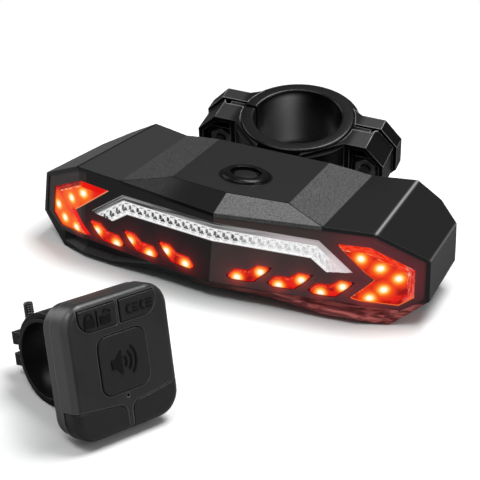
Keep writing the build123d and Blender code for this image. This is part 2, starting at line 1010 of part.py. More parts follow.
def make_trim_ring():
    """A rounded ring that stands on the top panel."""
    with BuildPart() as ring:
        with BuildSketch(Plane.XZ):
            with BuildLine():
                top = trim_rise
                crest = trim_gap_radius + trim_edge
                Polyline((trim_gap_radius, 0), (trim_gap_radius, top - trim_edge / 2), (crest, top))
                ThreePointArc((crest, top), (trim_radius - trim_crown, top * 0.72), (trim_radius, 0))
                Line((trim_radius, 0), (trim_gap_radius, 0))
            make_face()
        revolve(axis=Axis.Z)
    return Pos(0, button_y, height) * ring.part


def make_power_button():
    """A domed cap with a flange under the panel and a stem down to the switch."""
    low = height - wall - cap_flange_thickness - fit_gap
    dome_radius = (cap_top_radius**2 + cap_dome**2) / (2 * cap_dome)
    cap = rod((0, button_y, low), (0, 0, 1), cap_radius, height + cap_rise - low)
    cap = chamfer(cap.edges().sort_by(Axis.Z)[-1], cap_shoulder, cap_radius - cap_top_radius)
    cap = cap & (Pos(0, button_y, height + cap_rise - dome_radius) * Sphere(dome_radius))
    flange = rod((0, button_y, low), (0, 0, 1), cap_radius + cap_flange, cap_flange_thickness)
    stem_low = main_board_z + main_board_thickness + switch_height + cap_travel + 0.1
    stem = rod((0, button_y, stem_low), (0, 0, 1), switch_plunger_radius + 0.4, low - stem_low + 0.3)
    return cap + flange + stem


def make_power_switch():
    top = main_board_z + main_board_thickness
    half = switch_size / 2
    body = block((-half, button_y - half, top), (half, button_y + half, top + switch_height - 0.8))
    return body + rod((0, button_y, top + 1), (0, 0, 1), switch_plunger_radius, switch_height - 1)


def make_main_board():
    half = main_board_width / 2
    span = main_board_length / 2
    top = main_board_z + main_board_thickness
    board = block((-half, button_y - span, main_board_z), (half, button_y + span, top))
    for x, y in board_screw_places():
        board = board - rod((x, y, main_board_z - 1), (0, 0, 1), small_screw_radius + fit_gap, 4)
    return board


def make_board_chips():
    """Controller, radio, motion sensor and charger chips on the main board."""
    top = main_board_z + main_board_thickness
    chips = []
    for place, size in ((-2, sensor_size), (-1, controller_size), (1, radio_size), (2, charger_size)):
        x = place * chip_pitch
        y = button_y + (chip_offset if place > 0 else -chip_offset)
        half = size / 2
        chips.append(block((x - half, y - half, top), (x + half, y + half, top + chip_height)))
    return joined(chips)


def make_board_screws():
    low = main_board_z - board_head_height
    length = small_screw_length + board_head_height - 0.2
    return joined([screw((x, y, low), (0, 0, 1), small_screw_radius, length, board_head_radius,
                         board_head_height) for x, y in board_screw_places()])


def cell_axis_z():
    return base_thickness + cradle_wall + cell_radius


def make_cell():
    return rod((-cell_length / 2, cell_y, cell_axis_z()), (1, 0, 0), cell_radius, cell_length)


def make_cradle():
    side = cell_radius + fit_gap + cradle_wall
    top = cell_axis_z() - cradle_drop
    tray = block((-cradle_half, cell_y - side, base_thickness), (cradle_half, cell_y + side, top))
    inner = cradle_half - cradle_wall
    return tray - rod((-inner, cell_y, cell_axis_z()), (1, 0, 0), cell_radius + fit_gap, 2 * inner)


def make_siren():
    low = base_thickness
    body = rod((siren_x, siren_y, low), (0, 0, 1), siren_radius, siren_height)
    return body - rod((siren_x, siren_y, low - 1), (0, 0, 1), siren_radius - siren_wall, 1 + siren_wall)


def make_usb_socket():
    shell = Pos(0, 0, -port_depth - port_inset) * Box(port_width, port_height, port_depth,
                                                      align=(Align.CENTER, Align.CENTER, Align.MIN))
    mouth = Pos(0, 0, -port_depth - port_inset + 1) * Box(port_width - 0.6, port_height - 0.6, port_depth,
                                                          align=(Align.CENTER, Align.CENTER, Align.MIN))
    tongue = Pos(0, 0, -port_depth - port_inset + 0.5) * Box(port_width - 2.4, 0.7, port_depth - 1.2,
                                                             align=(Align.CENTER, Align.CENTER, Align.MIN))
    return port_plane() * (shell - mouth + tongue)


def make_usb_cover():
    flap = Pos(0, 0, cover_lift) * Box(cover_width, cover_height, cover_thickness,
                                       align=(Align.CENTER, Align.CENTER, Align.MIN))
    length = plug_length + cover_lift + 0.2
    plug = Pos(0, 0, -plug_length) * Box(port_width - 1.6, port_height - 1.7, length,
                                         align=(Align.CENTER, Align.CENTER, Align.MIN))
    half = hinge_ear_x - ear_width / 2 - knuckle_gap
    web = Pos(0, cover_height / 2 - 0.1, cover_lift) * Box(2 * half, knuckle_radius + 0.5, cover_web,
                                                           align=(Align.CENTER, Align.MIN, Align.MIN))
    cover = port_plane() * (flap + plug + web) + hinge_bar(half, knuckle_radius)
    return cover - hinge_bar(cover_width, pin_radius + pin_clearance)


def make_usb_pin():
    return hinge_bar(hinge_ear_x + ear_width / 2, pin_radius)


# Seat-post clamp, drawn upright in its own frame and then tilted into place

def clamp_frame():
    return Location((0, clamp_y, clamp_z), (clamp_tilt, 0, 0))


def half_ring(front):
    low = (0, 0, -clamp_half_height)
    ring = tube(low, (0, 0, 1), liner_outer + fit_gap, ring_outer, 2 * clamp_half_height)
    reach = 2 * ring_outer
    keep = block((-reach, -reach, -reach), (reach, -half_gap, reach)) if front else \
        block((-reach, half_gap, -reach), (reach, reach, reach))
    return ring & keep


def clear_of_lip(shape):
    """Room for the liner's rolled rims above and below the ring."""
    return shape - standing_bar(lip_radius + 0.3)


def make_front_half():
    plan = [
        (fairing_x, -ring_outer + fairing_step),
        (lug_inner_x, front_lug_y),
        (front_lug_x, front_lug_y),
        (front_lug_x, pad_top_y),
        (pad_inner_x, pad_top_y),
        (pad_inner_x - 1.5, -half_gap),
        (fairing_x, -half_gap),
    ]
    side = [
        (0.0, lug_half_height),
        (front_lug_shoulder_x, lug_half_height),
        (front_lug_x, lug_side_half),
        (front_lug_x, -lug_side_half),
        (front_lug_shoulder_x, -lug_half_height),
        (0.0, -lug_half_height),
    ]
    lug = along_z(plan, -lug_half_height, lug_half_height) & along_y(side)
    pocket_plan = [
        (pocket_inner_x, -ring_outer),
        (front_lug_x - lug_wall, -ring_outer),
        (front_lug_x - lug_wall, -pocket_floor),
        (pocket_inner_x, -pocket_floor),
    ]
    pocket_side = grow(side, -lug_wall)
    lug = lug - (along_z(pocket_plan, -lug_half_height, lug_half_height) & along_y(pocket_side))
    lug = clear_of_lip(lug)
    lug = lug + bolt_seat()
    lug = lug - bolt_hole(bolt_x) - nut(bolt_x, fit_gap)
    body = half_ring(True) + lug + mirrored(lug)
    return (clamp_frame() * body) + neck() - neck_screw_holes()


def bolt_hole(x):
    return bar_through(x, 0, bolt_radius + bolt_clearance)


def bolt_seat():
    """A block round each nut, at the bottom of the open pocket."""
    half = nut_flats / 2 + nut_seat_wall
    low = -pocket_floor - nut_height
    return block((bolt_x - half, low, -half), (bolt_x + half, -pocket_floor + 0.2, half))


def nut(x, margin=0.0):
    """Hexagon across Y at a bolt."""
    radius = (nut_flats / 2 + margin) / math.cos(math.radians(30))
    start = -pocket_floor - nut_height - (1.0 if margin else 0.0)
    return along_y(hexagon(x, radius), start, -pocket_floor)


def neck():
    """The bridge between the lamp's back wall and the clamp ring."""
    profile = [
        (back_wall_y(0, neck_low_z), neck_low_z),
        (back_wall_y(0, neck_top_z), neck_top_z),
        (clamp_y - ring_outer + neck_reach, neck_top_z),
        (clamp_y - ring_outer + neck_reach, neck_low_z),
    ]
    bridge = along_x(profile, -neck_half, neck_half)
    return bridge - (clamp_frame() * standing_bar(ring_outer - neck_sink))


def neck_screw_holes():
    holes = []
    for side in (1, -1):
        x = side * mount_screw_x
        y = back_wall_y(x, mount_screw_z)
        start = (x, y - 1, mount_screw_z)
        holes.append(rod(start, (0, 1, 0), mount_screw_radius + fit_gap, mount_screw_grip + 1.3))
    return holes[0] + holes[1]


def make_mount_screws():
    """Two screws from inside the lamp into the neck."""
    screws = []
    for side in (1, -1):
        x = side * mount_screw_x
        grip = wall + mount_head_height + 0.4
        start = (x, back_wall_y(x, mount_screw_z) - grip, mount_screw_z)
        screws.append(screw(start, (0, 1, 0), mount_screw_radius, grip + mount_screw_grip,
                            2 * mount_screw_radius, mount_head_height))
    return joined(screws)


def make_rear_half():
    plan = [
        (fairing_x, rear_plate_y),
        (rear_lug_x, rear_plate_y),
        (rear_lug_x, rear_plate_y + rear_plate_thickness),
        (ring_outer - 1.0, rear_plate_y + rear_plate_thickness),
        (fairing_x, rear_plate_y + rear_plate_thickness + fairing_rise),
    ]
    side = [
        (0.0, lug_half_height),
        (rear_lug_shoulder_x, lug_half_height),
        (rear_lug_x, lug_side_half),
        (rear_lug_x, -lug_side_half),
        (rear_lug_shoulder_x, -lug_half_height),
        (0.0, -lug_half_height),
    ]
    lug = clear_of_lip(along_z(plan, -lug_half_height, lug_half_height) & along_y(side))
    root_x = liner_outer + clamp_wall / 2
    root = block((root_x, half_gap, -clamp_half_height),
                 (lug_root_x, rear_plate_y + 0.5, clamp_half_height))
    lug = lug + root - bolt_hole(bolt_x)
    return clamp_frame() * (half_ring(False) + lug + mirrored(lug))


def make_liner():
    """Rubber sleeve with a rolled rim at each end and a slit at its left side."""
    sleeve = tube((0, 0, -liner_half_height), (0, 0, 1), bore_radius, liner_outer, 2 * liner_half_height)
    for end in (1, -1):
        low = liner_half_height - lip_height
        start = low if end > 0 else -liner_half_height
        rim = tube((0, 0, start), (0, 0, 1), bore_radius, lip_radius, lip_height)
        rim = fillet([e for e in rim.edges() if abs(abs(e.center().Z) - liner_half_height) < 0.01
                      and abs(e.radius - lip_radius) < 0.01], lip_height * 0.45)
        sleeve = sleeve + rim
    slit = block((-2 * ring_outer, -liner_slit / 2, -ring_outer), (0, liner_slit / 2, ring_outer))
    return clamp_frame() * (sleeve - slit)


def make_bolt(side):
    """Socket-head bolt: head on the rear half, tip through the nut."""
    head_face = rear_plate_y + rear_plate_thickness
    head_end = head_face + bolt_head_height
    tip = -pocket_floor - nut_height - bolt_tip
    x = side * bolt_x
    shank = rod((x, tip, 0), (0, 1, 0), bolt_radius, head_face - tip + 0.5)
    head = rod((x, head_face, 0), (0, 1, 0), bolt_head_radius, bolt_head_height)
    socket = along_y(hexagon(x, bolt_socket_radius), head_end - bolt_socket_depth, head_end + 1)
    return clamp_frame() * (shank + head - socket)


def make_nuts():
    nuts = []
    for x in (bolt_x, -bolt_x):
        nuts.append(clamp_frame() * (nut(x) - bolt_hole(x)))
    return joined(nuts)


# Remote, drawn upright facing -Y, then leaned back and turned to where it lies

remote_depth = remote_front_depth + remote_back_depth
ring_y = remote_depth + strap_standoff
strap_inner = strap_bore + strap_pad
strap_outer = strap_inner + strap_wall
lean = math.radians(remote_lean)
# The lower back edge and the strap ring touch the ground together
ring_z = (strap_outer + strap_standoff * math.sin(lean)) / math.cos(lean)


def remote_frame():
    lift = remote_depth * math.sin(lean)
    turned = Location((remote_x, remote_y, lift), (0, 0, remote_heading))
    return turned * Location((0, 0, 0), (-remote_lean, 0, 0))


def pad_block(near, far, inset):
    """The remote's rounded square, drawn in by inset, between two depths."""
    width = remote_width - 2 * inset
    tall = remote_height - 2 * inset
    sketch = Plane(origin=(0, near, remote_height / 2), x_dir=(1, 0, 0), z_dir=(0, 1, 0)) * \
        RectangleRounded(width, tall, max(remote_corner - inset, 0.5))
    return extrude(sketch, far - near)


def front_form():
    form = pad_block(0.0, remote_front_depth, 0.0)
    return fillet(form.faces().sort_by(Axis.Y)[0].edges(), remote_bevel)


def key_zones():
    """The hole for each key, as a bar across the depth of the remote."""
    deep = 2 * remote_front_depth
    horn = Plane(origin=(0, -deep, horn_z), x_dir=(1, 0, 0), z_dir=(0, 1, 0)) * \
        RectangleRounded(2 * horn_half, 2 * horn_half, horn_corner)
    bar = block((-bar_half, -deep, bar_low_z), (bar_half, deep, bar_top_z))
    bar = fillet([e for e in bar.edges().filter_by(Axis.Y) if e.center().Z < bar_low_z + 0.1], bar_corner)
    far = remote_width
    turn = along_y([(turn_gap_half, -far), (far, -far), (far, turn_mid_z + turn_rise * far),
                    (turn_gap_half, turn_mid_z + turn_rise * turn_gap_half)], -deep, deep)
    turn = fillet([e for e in turn.edges().filter_by(Axis.Y)
                   if e.center().X < turn_gap_half + 0.1 and e.center().Z > 0], turn_corner)
    right = block((bar_split, -deep, 0), (far, deep, far * 2))
    return {
        "remote_horn_button": extrude(horn, 2 * deep),
        "remote_lock_button": bar & mirrored(right),
        "remote_mode_button": bar & right,
        "remote_left_turn_button": mirrored(turn),
        "remote_right_turn_button": turn,
    }


def resized(zone, distance):
    """A key's bar made wider or narrower all round."""
    outline = zone.faces().sort_by(Axis.Y)[0]
    grown = offset(outline, distance, kind=Kind.INTERSECTION)
    return extrude(grown, 4 * remote_front_depth, dir=(0, 1, 0))


def between(near, far):
    """The layer of the remote between two depths."""
    return block((-remote_width, near, -remote_height), (remote_width, far, 2 * remote_height))


def make_key(name, zone):
    """The visible cap and, behind the shell, a rim that keeps it in."""
    cap = resized(zone, -key_gap)
    if "turn" in name:
        cap = cap & (front_form() - pad_block(remote_wall + 0.2, remote_front_depth, remote_wall))
        cap = cap & between(-1.0, turn_key_depth)
    else:
        cap = cap & between(-key_rise, remote_wall + 0.2)
    rim = resized(zone, key_rim) & between(remote_wall + 0.2, remote_wall + 0.2 + key_rim_thickness)
    if name in ("remote_lock_button", "remote_mode_button"):
        split = bar_split - key_gap
        rim = rim - block((-split, 0, 0), (split, remote_depth, remote_height))
    return cap + (rim & pad_block(0.0, remote_front_depth, remote_wall + key_gap))


def boss_places():
    return [(side * boss_x, z) for side in (1, -1) for z in (boss_low_z, boss_high_z)]


def make_remote_front():
    shell = front_form() - pad_block(remote_wall, remote_front_depth + 1, remote_wall)
    for name, zone in key_zones().items():
        depth = turn_key_depth + key_travel + 0.2 if "turn" in name else remote_wall + 0.5
        shell = shell - (zone & between(-2.0, depth))
    shell = shell - rod((0, -2, status_z), (0, 1, 0), status_hole_radius, board_near)
    for x, z in boss_places():
        boss = tube((x, remote_wall - 0.2, z), (0, 1, 0), tiny_screw_radius + tiny_hold, boss_size,
                    board_near - remote_wall + 0.2)
        shell = shell + boss
    return shell


def make_remote_back():
    far = remote_depth
    form = pad_block(remote_front_depth, far, 0.5)
    form = fillet(form.faces().sort_by(Axis.Y)[-1].edges(), 1.2)
    shell = form - pad_block(remote_front_depth - 1, far - remote_wall, 0.5 + remote_wall)
    for x, z in boss_places():
        boss = rod((x, board_far, z), (0, 1, 0), boss_size, far - board_far - 0.4)
        shell = shell + boss - rod((x, 0, z), (0, 1, 0), tiny_screw_radius + tiny_hold, 2 * far)
        shell = shell - rod((x, far - tiny_head_height - 0.2, z), (0, 1, 0), tiny_screw_radius * 2 + 0.1, 5)
    return shell


def make_remote_screws():
    screws = []
    for x, z in boss_places():
        start = remote_depth - 0.2
        screws.append(screw((x, start, z), (0, -1, 0), tiny_screw_radius, start - remote_wall - 0.8,
                            tiny_screw_radius * 2, tiny_head_height))
    return joined(screws)


def make_remote_board():
    board = pad_block(board_near, board_far, remote_wall + 0.6)
    for x, z in boss_places():
        board = board - rod((x, 0, z), (0, 1, 0), tiny_screw_radius + tiny_hold, remote_depth)
    return board


def make_domes():
    """One snap switch behind each key."""
    places = [(0, horn_z)]
    places += [(side * bar_half / 2, (bar_low_z + bar_top_z) / 2) for side in (1, -1)]
    places += [(side * remote_width / 4, turn_mid_z * 0.62) for side in (1, -1)]
    top = remote_wall + 0.2 + key_rim_thickness + key_travel + 0.1
    return joined([rod((x, top, z), (0, 1, 0), dome_radius, board_near - top) for x, z in places])


def make_status_led():
    low = status_z - status_hole_radius
    high = status_z + status_hole_radius
    return block((-status_half, board_near - status_half, low), (status_half, board_near, high))


def make_coin():
    return rod((0, board_far + fit_gap, coin_z), (0, 1, 0), coin_radius, coin_thickness)


def make_coin_clip():
    """A bent strip that crosses the back of the cell and stands on the board."""
    near = board_far + fit_gap + coin_thickness
    far = near + clip_thickness
    half = coin_radius + 0.3
    outer = half + clip_thickness
    low = coin_z - clip_half
    high = coin_z + clip_half
    leg = block((half, board_far, low), (outer, far, high))
    return block((-outer, near, low), (outer, far, high)) + leg + mirrored(leg)


def make_strap():
    """Split ring with a foot on the remote's back and two ears for its screw."""
    half = strap_half_length
    ring = tube((-half, ring_y, ring_z), (1, 0, 0), strap_inner, strap_outer, 2 * half)
    foot = block((-half, remote_depth, ring_z - strap_foot_half),
                 (half, ring_y - strap_inner + 0.6, ring_z + strap_foot_half))
    foot = foot - rod((-2 * half, ring_y, ring_z), (1, 0, 0), strap_inner + 0.3, 4 * half)
    ears = block((-ear_half_width, ring_y + strap_inner + 0.4, ring_z - ear_height),
                 (ear_half_width, ring_y + strap_inner + ear_length, ring_z + ear_height))
    strap = ring + foot + ears
    strap = strap - strap_split()
    low = ring_z - 2 * ear_height
    hole = strap_screw_radius + screw_clearance
    strap = strap - rod((0, screw_y(), low), (0, 0, 1), hole, 4 * ear_height)
    for side in (-1, 1):
        for level in (-1, 1):
            strap = strap - ear_hole(side, level)
    return strap


def ear_hole(side, level):
    """Round recess in the outer side of an ear, level with the ear's middle."""
    middle_z = ring_z + level * (ear_height + ear_gap / 2) / 2
    start = (side * ear_half_width, screw_y(), middle_z)
    return rod(start, (-side, 0, 0), ear_hole_radius, ear_hole_depth)


def strap_split():
    """The gap between the two ears, from the ring's middle backwards."""
    reach = 2 * strap_outer
    return block((-reach, ring_y, ring_z - ear_gap / 2), (reach, ring_y + reach, ring_z + ear_gap / 2))


def screw_y():
    return ring_y + strap_inner + ear_length * 0.55


def make_strap_pad():
    """Rubber lining of the ring, a little wider than the ring, slit on the side of the remote."""
    half = strap_half_length + pad_edge
    pad = tube((-half, ring_y, ring_z), (1, 0, 0), strap_bore, strap_inner - 0.02, 2 * half)
    reach = 2 * strap_outer
    slit = block((-reach, ring_y - reach, ring_z - pad_slit / 2), (reach, ring_y, ring_z + pad_slit / 2))
    return pad - slit


def make_strap_screw():
    y = screw_y()
    low = ring_z - ear_height
    head = rod((0, y, low - strap_head_height), (0, 0, 1), 1.75 * strap_screw_radius, strap_head_height)
    top = ring_z + strap_screw_top
    return head + rod((0, y, low - 0.5), (0, 0, 1), strap_screw_radius, top - low + 0.5)


def make_strap_nut():
    y = screw_y()
    top = ring_z + ear_height
    body = rod((0, y, top), (0, 0, 1), 1.8 * strap_screw_radius, strap_nut_height)
    bore = strap_screw_radius + screw_clearance
    return body - rod((0, y, top - 1), (0, 0, 1), bore, strap_nut_height + 2)


# Every piece, by name

def lamp_pieces():
    inner_board = make_inner_board()
    arrow_board = make_arrow_board()
    arrow_lens = lens([arrow_outline()], along_y(grow(arrow_outline(), flange_margin)))
    chevrons = [chevron_outline(i) for i in range(chevrons_a_side)]
    chevron_lens = lens(chevrons, along_y(chevron_plate_outline()))
    arrow_box = framed_box(arrow_outline(), arrow_lamps())
    chevron_box = light_box(chevron_plate_outline(), chevrons, chevron_lamps())
    strip_holes = strip_lamps() + [(-x, z) for x, z in strip_lamps()]
    arrow_leds = [lamp(x, z) for x, z in arrow_lamps()]
    chevron_leds = [lamp(x, z) for x, z in chevron_lamps()]
    strip_leds = [lamp(x, z) for x, z in strip_lamps()]
    return {
        "housing_shell": make_housing(),
        "base_plate": make_base_plate(),
        "base_seal": make_base_seal(),
        "base_screws": make_base_screws(),
        "front_bezel": make_bezel(),
        "right_arrow_lens": arrow_lens,
        "left_arrow_lens": mirrored(arrow_lens),
        "right_chevron_lens": chevron_lens,
        "left_chevron_lens": mirrored(chevron_lens),
        "strip_lens": lens([strip_outline()], along_y(grow(strip_outline(), flange_margin))),
        "right_arrow_reflector": arrow_box,
        "left_arrow_reflector": mirrored(arrow_box),
        "right_chevron_baffle": chevron_box,
        "left_chevron_baffle": mirrored(chevron_box),
        "strip_reflector": framed_box(strip_outline(), strip_holes),
        "right_arrow_board": arrow_board,
        "left_arrow_board": mirrored(arrow_board),
        "right_inner_board": inner_board,
        "left_inner_board": mirrored(inner_board),
        "arrow_leds": joined(arrow_leds + [mirrored(s) for s in arrow_leds]),
        "chevron_leds": joined(chevron_leds + [mirrored(s) for s in chevron_leds]),
        "strip_leds": joined(strip_leds + [mirrored(s) for s in strip_leds]),
        "board_to_mask_screws": make_mask_screws(),
        "button_trim_ring": make_trim_ring(),
        "power_button": make_power_button(),
        "power_switch": make_power_switch(),
        "main_board": make_main_board(),
        "board_chips": make_board_chips(),
        "board_screws": make_board_screws(),
        "battery_cell": make_cell(),
        "battery_cradle": make_cradle(),
        "siren": make_siren(),
        "usb_socket": make_usb_socket(),
        "usb_cover": make_usb_cover(),
        "usb_cover_pin": make_usb_pin(),
        "clamp_front_half": make_front_half(),
        "clamp_rear_half": make_rear_half(),
        "clamp_liner": make_liner(),
        "clamp_bolt_right": make_bolt(1),
        "clamp_bolt_left": make_bolt(-1),
        "clamp_nuts": make_nuts(),
        "clamp_mount_screws": make_mount_screws(),
    }


def remote_pieces():
    upright = {name: make_key(name, zone) for name, zone in key_zones().items()}
    upright.update({
        "remote_front_shell": make_remote_front(),
        "remote_back_shell": make_remote_back(),
        "remote_screws": make_remote_screws(),
        "remote_board": make_remote_board(),
        "remote_dome_switches": make_domes(),
        "remote_status_led": make_status_led(),
        "remote_cell": make_coin(),
        "remote_cell_clip": make_coin_clip(),
        "remote_strap": make_strap(),
        "remote_strap_pad": make_strap_pad(),
        "remote_strap_screw": make_strap_screw(),
        "remote_strap_nut": make_strap_nut(),
    })
    return {name: remote_frame() * shape for name, shape in upright.items()}


os.makedirs("parts", exist_ok=True)
for name, shape in {**lamp_pieces(), **remote_pieces()}.items():
    export_step(shape, f"parts/{name}.step")
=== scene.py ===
# %% [markdown]
# A bicycle brake light with its seat-post clamp and handlebar remote, dressed for a studio picture.
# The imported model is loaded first. It is the fixed frame: every piece made here is built round it, in
# the same place and at the same size, so nothing has to be fitted by eye afterwards.

# %% Load the frame
import math

import bmesh
import bpy
import numpy as np
from mathutils import Matrix, Vector


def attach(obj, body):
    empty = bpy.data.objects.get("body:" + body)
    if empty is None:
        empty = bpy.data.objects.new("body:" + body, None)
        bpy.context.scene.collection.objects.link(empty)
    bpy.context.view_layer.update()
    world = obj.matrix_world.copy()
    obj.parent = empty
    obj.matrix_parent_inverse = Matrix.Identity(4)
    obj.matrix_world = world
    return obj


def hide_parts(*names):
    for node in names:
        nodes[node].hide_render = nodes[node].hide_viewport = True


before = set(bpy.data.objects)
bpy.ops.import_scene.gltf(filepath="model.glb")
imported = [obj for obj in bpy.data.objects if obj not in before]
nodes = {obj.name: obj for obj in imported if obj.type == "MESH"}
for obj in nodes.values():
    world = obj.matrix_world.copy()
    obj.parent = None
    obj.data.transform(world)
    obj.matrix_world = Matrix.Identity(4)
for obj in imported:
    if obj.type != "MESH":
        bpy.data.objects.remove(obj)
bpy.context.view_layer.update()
scene = bpy.context.scene
MM = 0.001


def linked(name, data):
    """A new object of the scene."""
    made = bpy.data.objects.new(name, data)
    scene.collection.objects.link(made)
    return made


# %% [markdown]
# The camera looks down at the lamp from the front right. A product photograph of a small thing is taken
# with a long lens from half a metre away, so the angle of view is narrow and lines hardly converge.
# The three directions of the camera are worked out from its compass angle, its height and its tilt.

# %% Camera
view_azimuth = math.radians(18.84)
view_elevation = math.radians(23.86)
view_roll = math.radians(5.44)
view_distance = 0.4965
view_aim = Vector((0.00437, -0.01929, 0.01621))
lens_length = 112.5
sensor = 36.0

toward = Vector((math.sin(view_azimuth) * math.cos(view_elevation),
                 -math.cos(view_azimuth) * math.cos(view_elevation), math.sin(view_elevation)))
level = Vector((math.cos(view_azimuth), math.sin(view_azimuth), 0))
above = toward.cross(level)
across = math.cos(view_roll) * level + math.sin(view_roll) * above
upward = -math.sin(view_roll) * level + math.cos(view_roll) * above
camera_data = bpy.data.cameras.new("camera")
camera_data.lens = lens_length
camera_data.sensor_width = sensor
camera_data.clip_start = 0.01
camera = linked("camera", camera_data)
turn = Matrix((across, upward, toward)).transposed().to_4x4()
camera.matrix_world = Matrix.Translation(view_aim + view_distance * toward) @ turn
scene.camera = camera
print("camera at", camera.matrix_world.translation)

# %% [markdown]
# A finish is a small network of shader nodes. Written node by node it is long and hard to read, so one
# class wraps an output socket and lets Python's own signs stand for the Math nodes: mask * 2 + 1 adds
# two of them. Colours are blended with Mix nodes, because a Math node would turn them grey, and are
# given as a picture shows them, from 0 to 255. Every other node comes from one method, which takes the
# node's type, its settings and what goes into its sockets.

# %% Shader arithmetic
def math_method(operation, swapped=False):
    """A method that adds one Math node. It is swapped where the other value stands in front."""
    def method(self, other):
        return self.maths(operation, *((other, self) if swapped else (self, other)))

    return method


class Signal:
    """One output of a shader node. Arithmetic on it adds the Math nodes that work the sum out."""

    def __init__(self, finish, socket):
        self.finish = finish
        self.socket = socket

    def maths(self, operation, *values):
        return self.finish.node("ShaderNodeMath", {"operation": operation}, dict(enumerate(values)))

    __add__ = math_method("ADD")
    __radd__ = math_method("ADD", swapped=True)
    __sub__ = math_method("SUBTRACT")
    __rsub__ = math_method("SUBTRACT", swapped=True)
    __mul__ = math_method("MULTIPLY")
    __rmul__ = math_method("MULTIPLY", swapped=True)
    __truediv__ = math_method("DIVIDE")
    least = math_method("MINIMUM")
    most = math_method("MAXIMUM")

    def __abs__(self):
        return self.maths("ABSOLUTE", self)

    def fall(self, reach):
        """A bell curve of a distance: 1 at nothing, and about a third at reach."""
        return self.maths("EXPONENT", (self / reach) * (self / reach) * -1.0)

    def rise(self, low, high):
        """A smooth step from 0 at low to 1 at high; high may be the smaller one."""
        return self.finish.node("ShaderNodeMapRange", {"interpolation_type": "SMOOTHSTEP"},
                                {0: self, 1: low, 2: high, 3: 0.0, 4: 1.0})


class Finish:
    """A material being made. All its nodes come from node()."""

    def __init__(self, name):
        self.material = bpy.data.materials.new(name)
        self.material.use_nodes = True
        self.tree = self.material.node_tree
        self.tree.nodes.clear()

    def node(self, kind, settings=None, values=None, output=0):
        """Adds one node. Its settings are set first, then the values or links of its sockets."""
        made = self.tree.nodes.new(kind)
        for name, value in (settings or {}).items():
            setattr(made, name, value)
        for name, value in (values or {}).items():
            if isinstance(value, Signal):
                self.tree.links.new(value.socket, made.inputs[name])
            else:
                made.inputs[name].default_value = value
        return Signal(self, made.outputs[output])

    def place(self, kind="Object"):
        """Where a point is on the piece, in millimetres, or on its own flat map when kind is UV."""
        spot = self.node("ShaderNodeTexCoord", {}, {}, kind)
        size = 1.0 if kind == "UV" else 1 / MM
        return self.node("ShaderNodeVectorMath", {"operation": "SCALE"}, {0: spot, "Scale": size})

    def axes(self, spot):
        """The three numbers of a place."""
        parts = self.node("ShaderNodeSeparateXYZ", {}, {0: spot}).socket.node
        return [Signal(self, parts.outputs[i]) for i in range(3)]

    def joined(self, x, y, z):
        """Three numbers made into a place."""
        return self.node("ShaderNodeCombineXYZ", {}, {0: x, 1: y, 2: z})

    def vector(self, operation, first, second, output=0):
        """A Vector Math node. Its output 1 is a plain number."""
        return self.node("ShaderNodeVectorMath", {"operation": operation}, {0: first, 1: second}, output)

    def distance(self, spot, middle):
        return self.vector("DISTANCE", spot, middle, 1)

    def mix(self, mask, low, high):
        """A colour between two: low where the mask is 0, high where it is 1."""
        low, high = [colour if isinstance(colour, Signal) else srgb(colour) for colour in (low, high)]
        return self.node("ShaderNodeMix", {"data_type": "RGBA"}, {0: mask, 6: low, 7: high}, 2)

    def blend_all(self, first, *layers):
        """Layers of (mask, colour) laid over a first colour, one after the other."""
        colour = first
        for mask, layer in layers:
            colour = self.mix(mask, colour, layer)
        return colour

    def line_distance(self, spot, start, end):
        """How far a point is from the straight line through two places."""
        along = Vector(end) - Vector(start)
        along.normalize()
        aside = self.vector("CROSS_PRODUCT", self.vector("SUBTRACT", spot, start), along)
        return self.node("ShaderNodeVectorMath", {"operation": "LENGTH"}, {0: aside}, 1)

    def line(self, spot, start, end, width):
        """A soft stroke along a straight line, as wide as width to each side."""
        return self.line_distance(spot, start, end).fall(width)

    def grain(self, spot, size, detail=2.0):
        """Cloudy noise from 0 to 1, its lumps about size millimetres wide."""
        return self.node("ShaderNodeTexNoise", {}, {"Vector": spot, "Scale": 1 / size, "Detail": detail})

    def soft_normal(self, rounding):
        """The surface's direction with its corners rounded over, as any moulded edge is."""
        return self.node("ShaderNodeBevel", {"samples": 6}, {"Radius": rounding * MM})

    def facing(self):
        """The direction that the surface faces, before any rounding."""
        return self.node("ShaderNodeNewGeometry", {}, {}, "Normal")

    def flat_map(self, spot):
        """Where a point is when looked at straight from the front: x and z, with y left out."""
        x, _, z = self.axes(spot)
        return self.joined(x, 0.0, z)

    def edge(self, rounded):
        """1 along the corners, where the rounded direction leaves the flat one."""
        same = self.vector("DOT_PRODUCT", rounded, self.facing(), 1)
        return (1 - same).rise(0.002, 0.06)

    def bump(self, height, depth, normal):
        """Small relief: height from 0 to 1 stands for depth millimetres."""
        values = {"Height": height, "Distance": depth * MM, "Normal": normal}
        return self.node("ShaderNodeBump", {}, values)

    def surface(self, dead_black_share=0.0, **values):
        """Ends the material with a Principled shader, mixed with dead black by dead_black_share, which
        takes both colour and mirror away; where that share is set by region it is painted shade. Spaces
        in socket names are written as underscores."""
        named = {name.replace("_", " "): value for name, value in values.items()}
        bright = self.node("ShaderNodeBsdfPrincipled", {}, named)
        black = self.node("ShaderNodeBsdfDiffuse", {}, {"Color": (0.002, 0.002, 0.002, 1)})
        self.output(self.node("ShaderNodeMixShader", {}, {0: dead_black_share, 1: bright, 2: black}))
        return self.material

    def output(self, shader):
        end = self.tree.nodes.new("ShaderNodeOutputMaterial")
        self.tree.links.new(shader.socket, end.inputs["Surface"])


